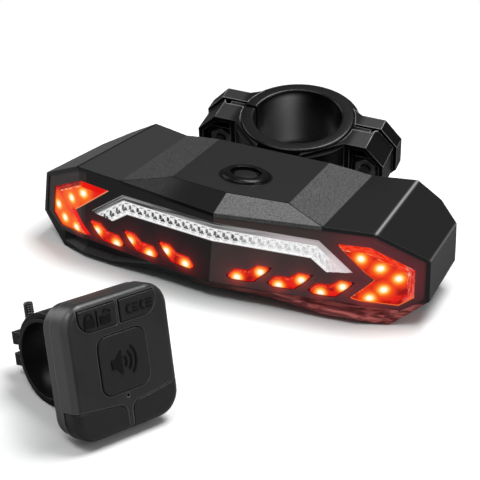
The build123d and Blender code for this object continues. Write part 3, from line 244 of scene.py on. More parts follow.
def srgb(colour):
    """The linear numbers that shaders take for a colour as a picture shows it: three parts from 0 to
    255, or one number for a grey. Four numbers are linear already."""
    if isinstance(colour, tuple) and len(colour) == 4:
        return colour
    parts = [part / 255 for part in (colour if isinstance(colour, tuple) else [colour] * 3)]
    linear = [p / 12.92 if p <= 0.04045 else ((p + 0.055) / 1.055) ** 2.4 for p in parts]
    return (*linear, 1.0)


print("shader helpers ready")

# %% [markdown]
# The studio is a white table under soft boxes. To the camera the table is white and takes the soft
# shadow under the wings; to everything else it is grey, as if the lamp stood on dark card with a sheet
# of white glass over it, so that it throws little light back up and the blacks stay deep. Further out
# it glows by itself, which keeps the background white without throwing more light on the lamp. In
# front of the lamp the white is a little short of red, so that the red light there leaves it neutral.
# Distances on the table are in millimetres.

# %% Table
def disc(name, radius, turns=96):
    """A flat round sheet: x = radius * cos(t), y = radius * sin(t), z = 0."""
    t = np.linspace(0, 2 * np.pi, turns, endpoint=False)
    ring = np.stack([radius * np.cos(t), radius * np.sin(t), np.zeros(turns)], 1)
    mesh = bpy.data.meshes.new(name)
    mesh.from_pydata(ring.tolist(), [], [list(range(turns))])
    return linked(name, mesh)


table_radius = 4.0
table_white = (0.97, 0.97, 0.97, 1)
red_lit_white = (0.935, 0.97, 0.97, 1)
unseen_grey = (0.30, 0.30, 0.30, 1)
table_middle = (0, -20, 0)
glow_near = 150
glow_far = 300


def white_table():
    f = Finish("white_table")
    grey = f.node("ShaderNodeBsdfDiffuse", {}, {"Color": unseen_grey})
    glow = f.node("ShaderNodeEmission", {}, {"Color": (1, 1, 1, 1), "Strength": 1.0})
    by_camera = f.node("ShaderNodeLightPath", output="Is Camera Ray")
    spot = f.place()
    away = f.distance(spot, table_middle)
    forward = f.axes(spot)[1] * -1.0
    red_lit = forward.rise(15, 40) * forward.rise(95, 55) * away.rise(140, 100)
    paper = f.mix(red_lit, table_white, red_lit_white)
    white = f.node("ShaderNodeBsdfDiffuse", {}, {"Color": paper})
    near_table = f.node("ShaderNodeMixShader", {}, {0: by_camera, 1: grey, 2: white})
    glowing = away.rise(glow_near, glow_far) * by_camera
    f.output(f.node("ShaderNodeMixShader", {}, {0: glowing, 1: near_table, 2: glow}))
    return f.material


table = disc("table", table_radius)
table.data.materials.append(white_table())
print("table ready")

# %% [markdown]
# Black plastic shows little of its own colour: its facets are told apart by what they mirror. A large
# box overhead lights the table. A second one in front is mirrored by the edges and slopes that face the
# camera from above, and two at the sides draw the wings. The sky is only a dim even grey.

# %% Lamps
def soft_box(name, place, aim, width, height, power):
    """An area lamp at place, facing aim, both in metres."""
    data = bpy.data.lights.new(name, "AREA")
    data.shape = "RECTANGLE"
    data.size = width
    data.size_y = height
    data.energy = power
    lamp = linked(name, data)
    lamp.location = place
    lamp.rotation_euler = (Vector(aim) - Vector(place)).to_track_quat("-Z", "Y").to_euler()


soft_box("top_box", (0.13, 0.19, 0.82), (0, 0, 0), 0.50, 0.38, 7.0)
soft_box("front_box", (-0.15, -0.42, 0.72), (0, 0, 0.02), 0.50, 0.22, 1.9)
soft_box("left_box", (-0.75, 0.05, 0.42), (0, 0, 0.02), 0.5, 0.6, 1.4)
soft_box("right_box", (0.70, -0.10, 0.40), (0, 0, 0.02), 0.4, 0.5, 0.8)

sky_colour = (0.95, 0.97, 1.0, 1)
sky_strength = 0.16
scene.view_settings.view_transform = "Standard"
world = bpy.data.worlds.new("studio")
scene.world = world
world.use_nodes = True
sky = world.node_tree.nodes["Background"]
sky.inputs["Color"].default_value = sky_colour
sky.inputs["Strength"].default_value = sky_strength
print("lamps ready")

# %% [markdown]
# Every new piece here is a surface worked out as a grid of points: one direction of the grid runs along
# the piece, the other goes round its cross-section. Neighbouring points are joined by four-sided faces,
# and the open ends are closed with one flat face each. A piece may be made of several such grids.
# Points that fall together, as at the tip of an arrow, are merged afterwards.

# %% Grids into a mesh
def quads(columns, loop, wrap_columns, wrap_loop):
    """Faces between neighbours of a grid: (i, j), (i + 1, j), (i + 1, j + 1), (i, j + 1)."""
    i = np.arange(columns if wrap_columns else columns - 1)[:, None]
    j = np.arange(loop if wrap_loop else loop - 1)[None, :]
    i_next = (i + 1) % columns
    j_next = (j + 1) % loop
    corners = [i * loop + j, i_next * loop + j, i_next * loop + j_next, i * loop + j_next]
    return np.stack([c + 0 * corners[0] for c in corners], -1).reshape(-1, 4)


def woven(name, grids, marks=None, wrap_columns=False, wrap_loop=True, sharp=28.0):
    """A mesh object from grids of points in millimetres, each columns x loop x 3. Marks are two numbers
    for each point, kept as the piece's UV map. Ends are capped unless the columns wrap round."""
    faces = []
    start = 0
    for grid in grids:
        columns, loop = grid.shape[:2]
        faces += (quads(columns, loop, wrap_columns, wrap_loop) + start).tolist()
        if wrap_loop and not wrap_columns:
            faces.append(list(range(start, start + loop)))
            faces.append(list(range(start + (columns - 1) * loop, start + columns * loop)))
        start += columns * loop
    points = np.concatenate([grid.reshape(-1, 3) for grid in grids])
    mesh = bpy.data.meshes.new(name)
    mesh.from_pydata((points * MM).tolist(), [], faces)
    if marks is not None:
        marks = np.concatenate([mark.reshape(-1, 2) for mark in marks])
        corner_of = np.empty(len(mesh.loops), dtype=np.int32)
        mesh.loops.foreach_get("vertex_index", corner_of)
        mesh.uv_layers.new(name="marks").data.foreach_set("uv", marks[corner_of].ravel())
    shape = bmesh.new()
    shape.from_mesh(mesh)
    bmesh.ops.remove_doubles(shape, verts=shape.verts, dist=1e-6)
    bmesh.ops.dissolve_degenerate(shape, edges=shape.edges, dist=1e-6)
    bmesh.ops.recalc_face_normals(shape, faces=shape.faces)
    shape.to_mesh(mesh)
    shape.free()
    mesh.shade_smooth()
    mesh.set_sharp_from_angle(angle=math.radians(sharp))
    print(name, len(mesh.polygons), "faces")
    return linked(name, mesh)


def dressed(piece, finish, body, slot, *replaced):
    """Gives a new piece its finish, the body it moves with and the CAD nodes it stands for."""
    piece.data.materials.append(finish)
    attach(piece, body)
    if replaced:
        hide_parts(*replaced)


# %% [markdown]
# The front of the lamp is folded like a shallow prow: a nearly flat middle and two wings that sweep
# back. Whatever lies on it is drawn as a flat outline in x and z and then pushed back onto the fold.

# %% The folded front
face_front = -33.9
sweep_inner = 0.134
sweep_outer = 0.567
lean_inner = 0.034
crease_x = 48.3
crease_splay = 0.11
fold = sweep_outer - sweep_inner
lean_outer = lean_inner + fold * crease_splay


def face_y(x, z, depth):
    """The further back of two leaning planes, each set back square to itself by depth."""
    inner = face_front + depth * math.sqrt(1 + sweep_inner ** 2 + lean_inner ** 2)
    outer = face_front - fold * crease_x + depth * math.sqrt(1 + sweep_outer ** 2 + lean_outer ** 2)
    return np.maximum(inner + sweep_inner * abs(x) - lean_inner * z,
                      outer + sweep_outer * abs(x) - lean_outer * z)


def along_line(corners, places, t):
    """Points of a broken line whose corners lie at given places from 0 to 1."""
    corners = np.array(corners, float)
    return np.stack([np.interp(t, places, corners[:, k]) for k in (0, 1)], -1)


def to_line(x, z, corners):
    """The distance from each point to the nearest side of an open broken line."""
    best = np.full(x.shape, 1e9)
    for (ax, az), (bx, bz) in zip(corners[:-1], corners[1:]):
        run = np.array([bx - ax, bz - az])
        t = ((x - ax) * run[0] + (z - az) * run[1]) / (run @ run)
        t = np.clip(t, 0, 1)
        best = np.minimum(best, np.hypot(x - ax - t * run[0], z - az - t * run[1]))
    return best


def ruled(upper, upper_at, lower, lower_at, columns, rows):
    """Flat points x and z on straight lines that join a lower broken line to an upper one."""
    t = np.unique(np.round(np.concatenate([np.linspace(0, 1, columns), upper_at, lower_at]), 6))
    low = along_line(lower, lower_at, t)[:, None]
    high = along_line(upper, upper_at, t)[:, None]
    v = np.linspace(0, 1, rows)[None, :, None]
    flat = low + (high - low) * v
    return flat[..., 0], flat[..., 1]


def filled_window(x, z, depth, back=2.6):
    """A solid lens: its front at a depth behind the face, its back straight behind its edge."""
    front = np.stack([x, face_y(x, z, depth), z], -1)
    rear = np.stack([x, face_y(x, z, np.full(x.shape, back)), z], -1)
    return np.concatenate([front, rear[:, -1:], rear[:, :1]], 1)


def with_rear(marks):
    """Two more marks in each column, for the two rear points."""
    return np.concatenate([marks, marks[:, -1:], marks[:, :1]], 1)


print("folded front at the middle", float(face_y(0.0, 15.0, 0.0)))

# %% [markdown]
# The arrow lenses are clear red mouldings. Their outer edges slope away in a broad bevel with fine ribs
# near the tip of the wing, their inner edges in a narrow one. Each is ruled between its outer line, from
# the upper point round the wing to the lower point, and its inner line, which turns at the notch. The
# distances to both lines are kept as marks, so that the finish can paint the bevels.

# %% Arrow lenses
arrow_outer = [(39.5, 27.2), (50.8, 27.9), (64.1, 20.2), (64.8, 9.9), (60.4, 6.8), (45.7, 8.9)]
arrow_inner = [(39.5, 27.2), (52.8, 16.4), (45.7, 8.9)]
outer_places = [0, 0.27, 0.55, 0.72, 0.80, 1]
inner_places = [0, 0.6, 1]
lens_inset = 0.12
outer_bevel = 1.9
outer_drop = 0.75
inner_bevel = 0.7
inner_drop = 0.45
rib_pitch = 0.9
rib_height = 0.05
ribs_from = 58.0
ribs_full = 61.0


def arrow_lens(name, side):
    """depth = inset + outer bevel + inner bevel + ribs, by the distances to the two lines."""
    x, z = ruled(arrow_outer, outer_places, arrow_inner, inner_places, 150, 64)
    outer = to_line(x, z, arrow_outer)
    inner = to_line(x, z, arrow_inner)
    bevel = np.clip(1 - outer / outer_bevel, 0, 1) * outer_drop
    bevel = bevel + np.clip(1 - inner / inner_bevel, 0, 1) * inner_drop
    ribs = rib_height * np.cos(z * 2 * np.pi / rib_pitch) * (outer < outer_bevel)
    ribs = ribs * np.clip((x - ribs_from) / (ribs_full - ribs_from), 0, 1)
    depth = lens_inset + bevel + ribs + rib_height * (outer > outer_bevel) * (inner > inner_bevel)
    grid = filled_window(side * x, z, depth)
    marks = with_rear(np.stack([outer, inner], -1))
    return woven(name, [grid], [marks])


right_arrow = arrow_lens("right_arrow_prism", 1)
left_arrow = arrow_lens("left_arrow_prism", -1)

# %% [markdown]
# The chevrons are six small red chips with rounded shoulders, three to a side. One grid makes one chip,
# and the three of a side are one piece, because they are moulded on one plate behind the mask.

# %% Chevron lenses
chevron_x = 5.3
chevron_z = 9.2
chevron_pitch = 13.45
chip_upper = [(0, 0), (2.6, 3.1), (7.3, 3.5), (10.1, 5.7), (15.1, 5.7)]
chip_lower = [(0, 0), (1.9, -1.3), (6.6, -1.1), (9.3, -0.8), (13.0, 2.9), (15.1, 5.7)]
chip_upper_places = [0, 0.16, 0.45, 0.66, 1]
chip_lower_places = [0, 0.12, 0.42, 0.60, 0.86, 1]
chip_inset = 0.10
chip_shoulder = 1.1
chip_drop = 0.55


def chevron_lens(name, side):
    """depth = inset + drop * (1 - edge / shoulder) ** 2 within the shoulder, edge being the distance
    to the chip's outline."""
    grids = []
    marks = []
    for index in range(3):
        x, z = ruled(chip_upper, chip_upper_places, chip_lower, chip_lower_places, 70, 26)
        upper = to_line(x, z, chip_upper)
        lower = to_line(x, z, chip_lower)
        edge = np.minimum(upper, lower)
        depth = chip_inset + chip_drop * np.clip(1 - edge / chip_shoulder, 0, 1) ** 2
        x = side * (x + chevron_x + index * chevron_pitch)
        z = z + chevron_z
        grids.append(filled_window(x, z, depth))
        marks.append(with_rear(np.stack([upper, lower], -1)))
    return woven(name, grids, marks, sharp=40.0)


right_chevrons = chevron_lens("right_chevron_chips", 1)
left_chevrons = chevron_lens("left_chevron_chips", -1)

# %% [markdown]
# The strip is a clear light bar. Its upper quarter is a smooth bevel, below that a row of prism cells
# catches the light, and a thin border closes it at the bottom. The ends turn down with the wings. The
# cells are small pyramids, cut into the front of one ruled grid; the black pits beside them are painted
# reflections in the finish. The marks keep the way along the bar in millimetres and the height across it
# from 0 to 1.

# %% Prism strip
strip_upper = [(-46.2, 18.1), (-34.2, 27.3), (0, 27.1), (34.2, 27.3), (46.2, 18.1)]
strip_lower = [(-37.4, 16.8), (-32.2, 20.6), (0, 20.5), (32.2, 20.6), (37.4, 16.8)]
strip_places = [0, 0.12, 0.5, 0.88, 1]
strip_columns = 620
strip_rows = 40
cell_pitch = 2.9
slope_start = 33.2
slope_length = 1.25
strip_inset = 0.15
rim_top = 0.06
rim_drop = 0.4
cells_bottom = 0.08
cells_top = 0.70
cells_fade = 0.05
cell_rows_from = 0.10
cell_row_height = 0.30
cell_depth = 0.32
bevel_bottom = 0.72
bevel_drop = 0.8


def strip_way(x):
    """How far along the bar a point is: x on the level part, and 1.25 times as much on the ends."""
    past = np.clip(abs(x) - slope_start, 0, None)
    return np.sign(x) * (np.minimum(abs(x), slope_start) + past * slope_length)


def strip_lens():
    """depth = inset + bevel + rim + cell depth * (1 - pyramid), v being the height across from 0 to 1
    and a pyramid the lesser of two zigzags, one along the bar and one across it."""
    x, z = ruled(strip_upper, strip_places, strip_lower, strip_places, strip_columns, strip_rows)
    v = np.linspace(0, 1, strip_rows)[None, :] + 0 * x
    way = strip_way(x)
    cell = (way / cell_pitch) % 1.0
    row = (v - cell_rows_from) / cell_row_height % 1.0
    body = np.clip((v - cells_bottom) / cells_fade, 0, 1) * np.clip((cells_top - v) / cells_fade, 0, 1)
    pyramid = np.minimum(1 - abs(2 * cell - 1), 1 - abs(2 * row - 1))
    bevel = np.clip((v - bevel_bottom) / (1 - bevel_bottom), 0, 1) * bevel_drop
    rim = np.clip((rim_top - v) / rim_top, 0, 1) * rim_drop
    depth = strip_inset + bevel + rim + body * cell_depth * (1 - pyramid)
    grid = filled_window(x, z, depth)
    return woven("prism_strip", [grid], [with_rear(np.stack([way, v], -1))], sharp=12.0)


strip = strip_lens()

# %% [markdown]
# Round pieces are turned like wood: a profile of radius and height is carried round an axis. A profile
# that is a closed loop makes a ring; one that starts and ends on the axis makes a solid body. The piece
# is turned upright at the origin, then set into place.

# %% Turning
def turned(profile, start=0.0, stop=2 * math.pi, turns=144):
    """x = r cos t, y = r sin t, z = h for each point (r, h) of the profile, t along the columns."""
    closed = stop - start > 2 * math.pi - 1e-6
    t = np.linspace(start, stop, turns, endpoint=not closed)[:, None]
    r, h = np.array(profile, float).T
    return np.stack([r * np.cos(t), r * np.sin(t), h + 0 * t], -1)


def arc(centre_r, centre_h, radius, first, last, steps=10):
    """Points of a rounded corner in a profile, between two angles in degrees."""
    t = np.radians(np.linspace(first, last, steps))
    return [(centre_r + radius * c, centre_h + radius * s) for c, s in zip(np.cos(t), np.sin(t))]


def placed(grid, matrix):
    """The grid turned and moved by a 4 x 4 matrix in millimetres."""
    matrix = np.array(matrix)
    return grid @ matrix[:3, :3].T + matrix[:3, 3]


print("turning helpers ready")

# %% [markdown]
# The power button sits in a broad ring that swells out of the top panel, with a dark gap between them.
# The ring ends in a thin flange, flat on the panel: a dark sheet that stands as painted shade for the
# shaded gap round the ring. The cap is a low dome with a sloping shoulder.

# %% Trim ring and power button
button_y = -6.9
panel_z = 34.0

# The flat flange at the outer end of this profile is a dark sheet of painted shade round the ring.
ring_profile = ([(5.2, -0.6), (5.2, 1.1)] + arc(5.5, 1.1, 0.3, 180, 90, 6)
                + [(6.1, 1.44), (6.8, 1.36), (7.4, 1.17), (7.9, 0.88), (8.25, 0.5), (8.4, 0.03),
                   (9.05, 0.03), (9.1, -0.02), (7.0, -0.6)])
at_button = Matrix.Translation((0, button_y, panel_z))
trim_ring = woven("turned_trim_ring", [placed(turned(ring_profile), at_button)],
                  wrap_columns=True, sharp=50.0)

cap_profile = ([(0, 1.0), (1.2, 0.97), (2.4, 0.86), (3.2, 0.72), (3.75, 0.58)]
               + arc(3.75, 0.36, 0.22, 80, 20, 6)
               + [(4.35, 0.02), (4.55, -0.3), (4.6, -0.8), (4.6, -3.1), (6.8, -3.1), (6.8, -3.2),
                  (0, -3.2)])
power_cap = woven("turned_power_cap", [placed(turned(cap_profile), at_button)],
                  wrap_columns=True, wrap_loop=False, sharp=40.0)

# %% [markdown]
# The clamp's rubber liner is a split sleeve with a rolled lip at each end. Its profile is a closed loop,
# carried round from one side of the slit to the other.

# %% Clamp liner
clamp_tilt = math.radians(18.0)
clamp_middle = (0, 48.7, 28.0)
at_clamp = Matrix.Translation(clamp_middle) @ Matrix.Rotation(clamp_tilt, 4, "X")
bore = 16.0
seat = 18.0
lip = 20.6
tall = 12.5
inner_round = 0.8
outer_round = 0.85
half_slit = 0.8
liner_turns = 190


def liner_profile():
    """Bore wall, rolled lip, seat in the ring, rolled lip, back to the bore."""
    top = ([(bore, 0)]
           + arc(bore + inner_round, tall - inner_round, inner_round, 180, 90)
           + arc(lip - outer_round, tall - outer_round, outer_round, 90, -20)
           + [(lip - 0.3, tall - 1.75), (seat, tall - 1.8)])
    return top + [(r, -h) for r, h in reversed(top)][:-1]


gap = math.asin(half_slit / seat)
sleeve = turned(liner_profile(), -math.pi + gap, math.pi - gap, liner_turns)
liner = woven("rolled_liner", [placed(sleeve, at_clamp)], sharp=45.0)

# %% [markdown]
# The screws are the same idea with one change: the radius also depends on the turn, so that a ridge
# winds up the shank. One turn of the thread rises by its pitch.

# %% Strap screw
remote_x = 15.1
remote_y = -124.9
heading = math.radians(64.8)
lean = math.radians(17.0)
remote_depth = 10.6
strap_standoff = 14.1
strap_inner = 12.0
strap_outer = 13.6
ear_length = 8.5
screw_share = 0.55
screw_radius = 1.5
thread_pitch = 0.7
thread_depth = 0.24
shank_low = -5.4
shank_high = 13.0
ring_y = remote_depth + strap_standoff
ring_z = (strap_outer + strap_standoff * math.sin(lean)) / math.cos(lean)
at_remote = Matrix.Translation((remote_x, remote_y, remote_depth * math.sin(lean))) \
    @ Matrix.Rotation(heading, 4, "Z") @ Matrix.Rotation(-lean, 4, "X")
screw_y = ring_y + strap_inner + ear_length * screw_share


def threaded(radius, low, high, pitch, depth, turns=48, rows=220):
    """r = radius - depth * saw(h / pitch - t / full turn), closed by a pole at each end."""
    t = np.linspace(0, 2 * math.pi, turns, endpoint=False)[:, None]
    h = np.linspace(low, high, rows)[None, :]
    wave = abs(2 * ((h / pitch - t / (2 * math.pi)) % 1.0) - 1)
    taper = np.clip(0.8 + (high - h) / (2 * pitch), 0, 1)
    r = (radius - depth * wave) * taper
    grid = np.stack([r * np.cos(t), r * np.sin(t), h + 0 * t], -1)
    ends = [np.stack([0 * t, 0 * t, value + 0 * t], -1) for value in (low, high)]
    return np.concatenate([ends[0], grid, ends[1]], 1)


at_screw = at_remote @ Matrix.Translation((0, screw_y, ring_z))
head_profile = ([(0, -7.4), (2.3, -7.4)] + arc(2.4, -7.0, 0.4, -90, 0, 6)
                + [(2.8, -5.3), (2.5, -5.0), (0, -5.0)])
shank_grid = placed(threaded(screw_radius, shank_low, shank_high, thread_pitch, thread_depth), at_screw)
head_grid = placed(turned(head_profile, turns=60), at_screw)
strap_screw = woven("threaded_strap_screw", [shank_grid, head_grid],
                    wrap_columns=True, wrap_loop=False, sharp=40.0)

# %% [markdown]
# The remote's rubber keys carry raised signs: a loudspeaker with sound waves, a shut and an open
# padlock, and two lamps with their rays. Each sign is built from short strokes: a straight slab between
# two lines, or a bent ribbon along an arc, standing about a quarter of a millimetre out of the key.

# %% Raised signs
key_face = -0.3
sign_height = 0.28
sign_sunk = 0.1


def slab(lower, upper):
    """A flat sign part: straight lines join the lower line to the upper one, point by point."""
    low = np.array(lower, float)
    high = np.array(upper, float)
    near = key_face - sign_height
    far = key_face + sign_sunk
    loop = [(low, far), (low, near), (high, near), (high, far)]
    return np.stack([np.stack([p[:, 0], np.full(len(p), y), p[:, 1]], -1) for p, y in loop], 1)


def ribbon(x, z, radius, width, first, last, steps=18):
    """A bent stroke: the space between two arcs round one centre, between two angles in degrees."""
    t = np.radians(np.linspace(first, last, steps))
    sides = (radius - width / 2, radius + width / 2)
    return slab(*[np.stack([x + side * np.cos(t), z + side * np.sin(t)], -1) for side in sides])


def block(left, right, bottom, top):
    """An upright rectangle."""
    return slab([(left, bottom), (right, bottom)], [(left, top), (right, top)])


def sign(name, parts):
    """One piece of several strokes, set on the remote's face."""
    return woven(name, [placed(part, at_remote) for part in parts], sharp=35.0)


horn_z = 19.3
horn_sign = sign("horn_sign", [
    slab([(-4.4, horn_z - 1.3), (-2.9, horn_z - 1.3), (-0.9, horn_z - 3.4)],
         [(-4.4, horn_z + 1.3), (-2.9, horn_z + 1.3), (-0.9, horn_z + 3.4)]),
] + [ribbon(-1.2, horn_z, radius, 0.6, -45, 45) for radius in (1.9, 3.6, 5.3)])


def padlock(x, z, turn):
    """A broad body under a round bow; an open one, whose turn is 1, has its bow turned aside."""
    body = block(x - 1.7, x + 1.7, z - 1.9, z + 0.5)
    bow = ribbon(x + 0.6 * turn, z + 0.7, 1.15, 0.5, -10 + 25 * turn, 190 - 35 * turn)
    return [body, bow]


def beam(x, z):
    """A lamp's half round with three rays in front of it."""
    rays = [block(x + 0.2, x + 2.2, z + row - 0.2, z + row + 0.2) for row in (-1.0, 0.0, 1.0)]
    return [ribbon(x - 0.6, z, 1.2, 0.5, 90, 270)] + rays


bar_z = 33.0
divider_half = 2.2
divider = block(-7.25, -6.95, bar_z - divider_half, bar_z + divider_half)
lock_sign = sign("lock_sign", padlock(-9.8, bar_z, 0) + [divider] + padlock(-4.4, bar_z, 1))
mode_sign = sign("mode_sign", beam(4.9, bar_z) + beam(9.7, bar_z))

# %% [markdown]
# The housing is one black moulding, but the mould was textured in several ways. The middle of the top is
# spark-eroded fine and looks dark. The slopes beside it and the slope down to the face, called the brow
# here, have a coarse grain that scatters more light, so they look grey and speckled. On top of that,
# light and shade are painted into the colour. The slopes and the brow are painted lighter on the right.
# The left brow is painted darker towards the middle. The wing's facets are painted lighter on the left
# than on the right, and the wing ends are painted dark. The right wing's ridge and the tip edge get
# painted highlights, the left ridge lies in a painted dark line, and painted shade darkens the creases
# that run from the panel's corners. Painted red light from the lenses reddens the chin under the face on
# the right, in streaks. The right end of the slot gets a painted highlight, and the corners are painted
# lighter as painted highlights. All of it is made from noise, from distances and from the way a facet
# looks, in the colour and as relief. The painted shade is deepened by mixing in dead black, on the panel
# too, which takes the mirror away as well as the colour, because black plastic shows its mirror more
# than its colour.

# %% Housing plastic
valley_x = 35.0
panel_half = 20.6
brow_back = -24.34
brow_corner = (20.2, -21.63)
brow_return = 0.5865
ridge_x = 51.0
ridge_splay = 0.033
panel_corner = (20.4, -21.6, 34.0)
valley_front = (35.0, -30.3, 32.4)
brow_middle = (0.0, -24.3, 34.0)
ridge_front = (51.94, -28.06, 33.0)
ridge_back = (49.93, 32.17, 30.3)
tip_front = (68.36, -18.0, 23.8)
tip_back = (67.2, 23.5, 21.2)


def housing_plastic():
    f = Finish("housing_plastic")
    spot = f.place()
    x, y, z = f.axes(spot)
    wide = abs(x)
    folded = f.joined(wide, y, z)
    right = x.rise(-0.25, 0.25)
    facing = f.axes(f.facing())
    top = facing[2].rise(0.2, 0.4) * z.rise(18.0, 20.0)
    brow_side = brow_corner[1] - brow_return * (wide - brow_corner[0])
    brow_edge = (brow_back + sweep_inner * wide).least(brow_side)
    brow = (brow_edge - y).rise(-0.1, 0.1) * z.rise(28.6, 29.2)
    brow = brow * wide.rise(valley_x + 0.6, valley_x - 0.6)
    slope = wide.rise(panel_half - 0.2, panel_half + 0.2) * wide.rise(valley_x + 0.2, valley_x - 0.2)
    slope = slope * (1 - brow) * top
    wing = wide.rise(valley_x - 0.2, valley_x + 0.2) * top
    outer = (wide - (ridge_x - ridge_splay * y)).rise(-0.1, 0.1) * top
    end = abs(facing[0]).rise(0.75, 0.9) * z.rise(4.0, 7.0)
    chin = z.rise(9.0, 6.5) * y.rise(-6.0, -9.0)
    # Painted highlight on the facet at the right end of the slot.
    slot_end_highlight = (facing[0] * -1.0).rise(0.3, 0.5) * x.rise(56.0, 57.0) * z.rise(7.0, 6.5)
    slot_end_highlight = slot_end_highlight * y.rise(-10.0, -11.0)
    # Streaks in the painted red light on the chin.
    chin_glow_streaks = f.grain(f.joined(x * 0.05, y * 0.4, z * 1.1), 1.0, 3.0).rise(0.38, 0.60)
    lumps = f.grain(spot, 0.42, 3.0)
    fine = f.grain(spot, 0.16, 2.0)
    cloud = f.grain(spot, 16.0, 3.0)
    speck = lumps.rise(0.36, 0.64)
    brow_outward = wide.rise(13.0, 23.0)
    shaded_left_brow = f.mix(brow_outward, f.mix(speck, 3, 8), f.mix(speck, 18, 44))
    rounded = f.soft_normal(0.35)
    edge = f.edge(rounded)
    # Painted shade: thin dark lines along the creases that run from the panel's corners.
    crease_shade = f.line(folded, brow_middle, panel_corner, 0.22)
    crease_shade = crease_shade.most(f.line(folded, panel_corner, valley_front, 0.2)) * z.rise(31.0, 32.0)
    # Painted highlight along the right ridge and the tip edge, and painted shade as a dark line along
    # the left ridge.
    ridge = f.line(folded, ridge_front, ridge_back, 0.45)
    tip = f.line(folded, tip_front, tip_back, 0.4)
    # Painted light and shade: lighter right slopes and brow, a dark left brow, wing tones by side, dark
    # wing ends and a red chin. Painted highlights on the slot end, the corners, the ridge and the tip.
    # Painted dark lines on the left ridge and the creases.
    body = f.blend_all(
        f.mix(cloud, 26, 33),
        (slope, f.mix(right, f.mix(speck, 28, 66), f.mix(speck, 44, 90))),
        (wing, f.mix(right, 40, 20)),
        (outer, f.mix(right, 54, 18)),
        (end, 14),
        (brow, f.mix(right, shaded_left_brow, f.mix(speck, 70, 106))),
        (chin * x.rise(-10.0, 45.0), f.mix(chin_glow_streaks, (128, 52, 52), (236, 124, 118))),
        (slot_end_highlight, (215, 150, 148)),
        (edge * 0.35, 110),
        (ridge * right * 0.7, 190),
        (ridge * (1 - right) * 0.8, 6),
        (tip * 0.5, 150),
        (crease_shade * 0.85, 6))
    coarse = (slope + brow * right).least(1.0)
    rough = 0.46 + 0.12 * coarse - 0.1 * end + 0.3 * brow * (1 - right) + 0.08 * (fine - 0.5)
    height = fine * 0.2 + lumps * (0.2 + 0.8 * coarse)
    panel = wide.rise(panel_half, panel_half - 0.4) * top * (1 - brow)
    # Painted shade: dead black is mixed in on the panel, the left brow, the right wing, the wing ends,
    # the left ridge's line and the creases.
    dead_black_share = panel * 0.16 + brow * (1 - right) * (0.1 + 0.35 * wide.rise(23.0, 10.0))
    dead_black_share = dead_black_share + wing * right * 0.2 + end * 0.22
    dead_black_share = dead_black_share.most(ridge * (1 - right) * 0.9).most(crease_shade * 0.9)
    return f.surface(dead_black_share, Base_Color=body, Roughness=rough, Specular_IOR_Level=0.3,
                     Normal=f.bump(height, 0.04, rounded))


housing_finish = housing_plastic()
print("made", housing_finish.name)

# %% [markdown]
# The mask in front is smoky plastic. Light from the diodes leaks into it round every window, so it is
# tinted dark red there, more on the right wing, which is seen more squarely. The leak is painted as soft
# bells of glow round each diode. Light is painted into its colour too: the right half is painted lighter
# and redder than the left, the left wing's end is painted lighter, and the line along the outer step and
# the window rims get painted highlights. The diodes sit a little differently behind the two wings'
# lenses, so their places are given for each wing.

# %% Smoky mask
left_arrow_lamps = [(-49.4, 23.7), (-55.0, 19.8), (-61.9, 14.4), (-58.4, 10.8), (-52.3, 9.8)]
right_arrow_lamps = [(48.1, 23.6), (54.2, 20.7), (59.8, 17.1), (55.8, 13.0), (52.0, 9.8)]
left_chevron_lamps = [(-9.1, 9.6), (-16.5, 12.1), (-22.7, 9.2), (-30.4, 11.7), (-35.5, 9.1),
                      (-43.3, 11.6)]
right_chevron_lamps = [(9.2, 9.3), (16.7, 12.6), (22.9, 9.1), (30.1, 12.4), (36.6, 9.2), (43.5, 12.6)]


def lamp_distances(f, spot, places):
    """How far a point is from each diode, looking straight at the face."""
    flat = f.flat_map(spot)
    return [f.distance(flat, (px, 0, pz)) for px, pz in places]


def nearest(signals):
    """The least of several distances."""
    least = signals[0]
    for signal in signals[1:]:
        least = least.least(signal)
    return least


step_line = [(0.0, -35.0, 30.2), (50.9, -28.1, 30.3), (65.7, -19.6, 22.6), (67.9, -17.3, 9.4),
             (62.0, -20.0, 3.6)]


def smoky_mask():
    f = Finish("smoky_mask")
    spot = f.place()
    x, y, z = f.axes(spot)
    fine = f.grain(spot, 0.22, 2.0)
    cloud = f.grain(spot, 9.0, 2.0)
    rounded = f.soft_normal(0.22)
    edge = f.edge(rounded)
    right = x.rise(-0.2, 0.2)
    chips = nearest(lamp_distances(f, spot, left_chevron_lamps + right_chevron_lamps))
    arrow = nearest(lamp_distances(f, spot, right_arrow_lamps))
    leak = (chips.fall(6.0) * 0.5).most(arrow.fall(9.5))
    bloom = chips.least(nearest(lamp_distances(f, spot, left_arrow_lamps))).least(arrow).fall(2.3)
    folded = f.joined(abs(x), y, z)
    sides = zip(step_line[:-1], step_line[1:])
    step_highlight = nearest([f.line_distance(folded, start, end) for start, end in sides]).fall(0.16)
    # Painted light: the right half lighter and redder, the left wing's end lighter, and painted
    # highlights along the step line and the corners.
    tone = f.blend_all(
        f.mix(right, f.mix(cloud, (24, 21, 21), (31, 28, 28)),
              f.mix(cloud, (80, 67, 65), (92, 78, 75))),
        (x.rise(20.0, 66.0), (66, 52, 53)),
        (x.rise(-48.2, -48.8), (64, 54, 55)),
        (step_highlight * 0.5, (120, 96, 96)),
        (edge * 0.6, (140, 112, 112)))
    leak_glow = f.blend_all(
        0,
        (leak, (92, 8, 24)),
        (bloom * 0.6, (180, 34, 10)))
    return f.surface(Base_Color=tone, Roughness=0.34 + 0.1 * (fine - 0.5), Specular_IOR_Level=0.35,
                     Emission_Color=leak_glow, Emission_Strength=1.0, Normal=f.bump(fine, 0.01, rounded))


mask_finish = smoky_mask()
print("made", mask_finish.name)

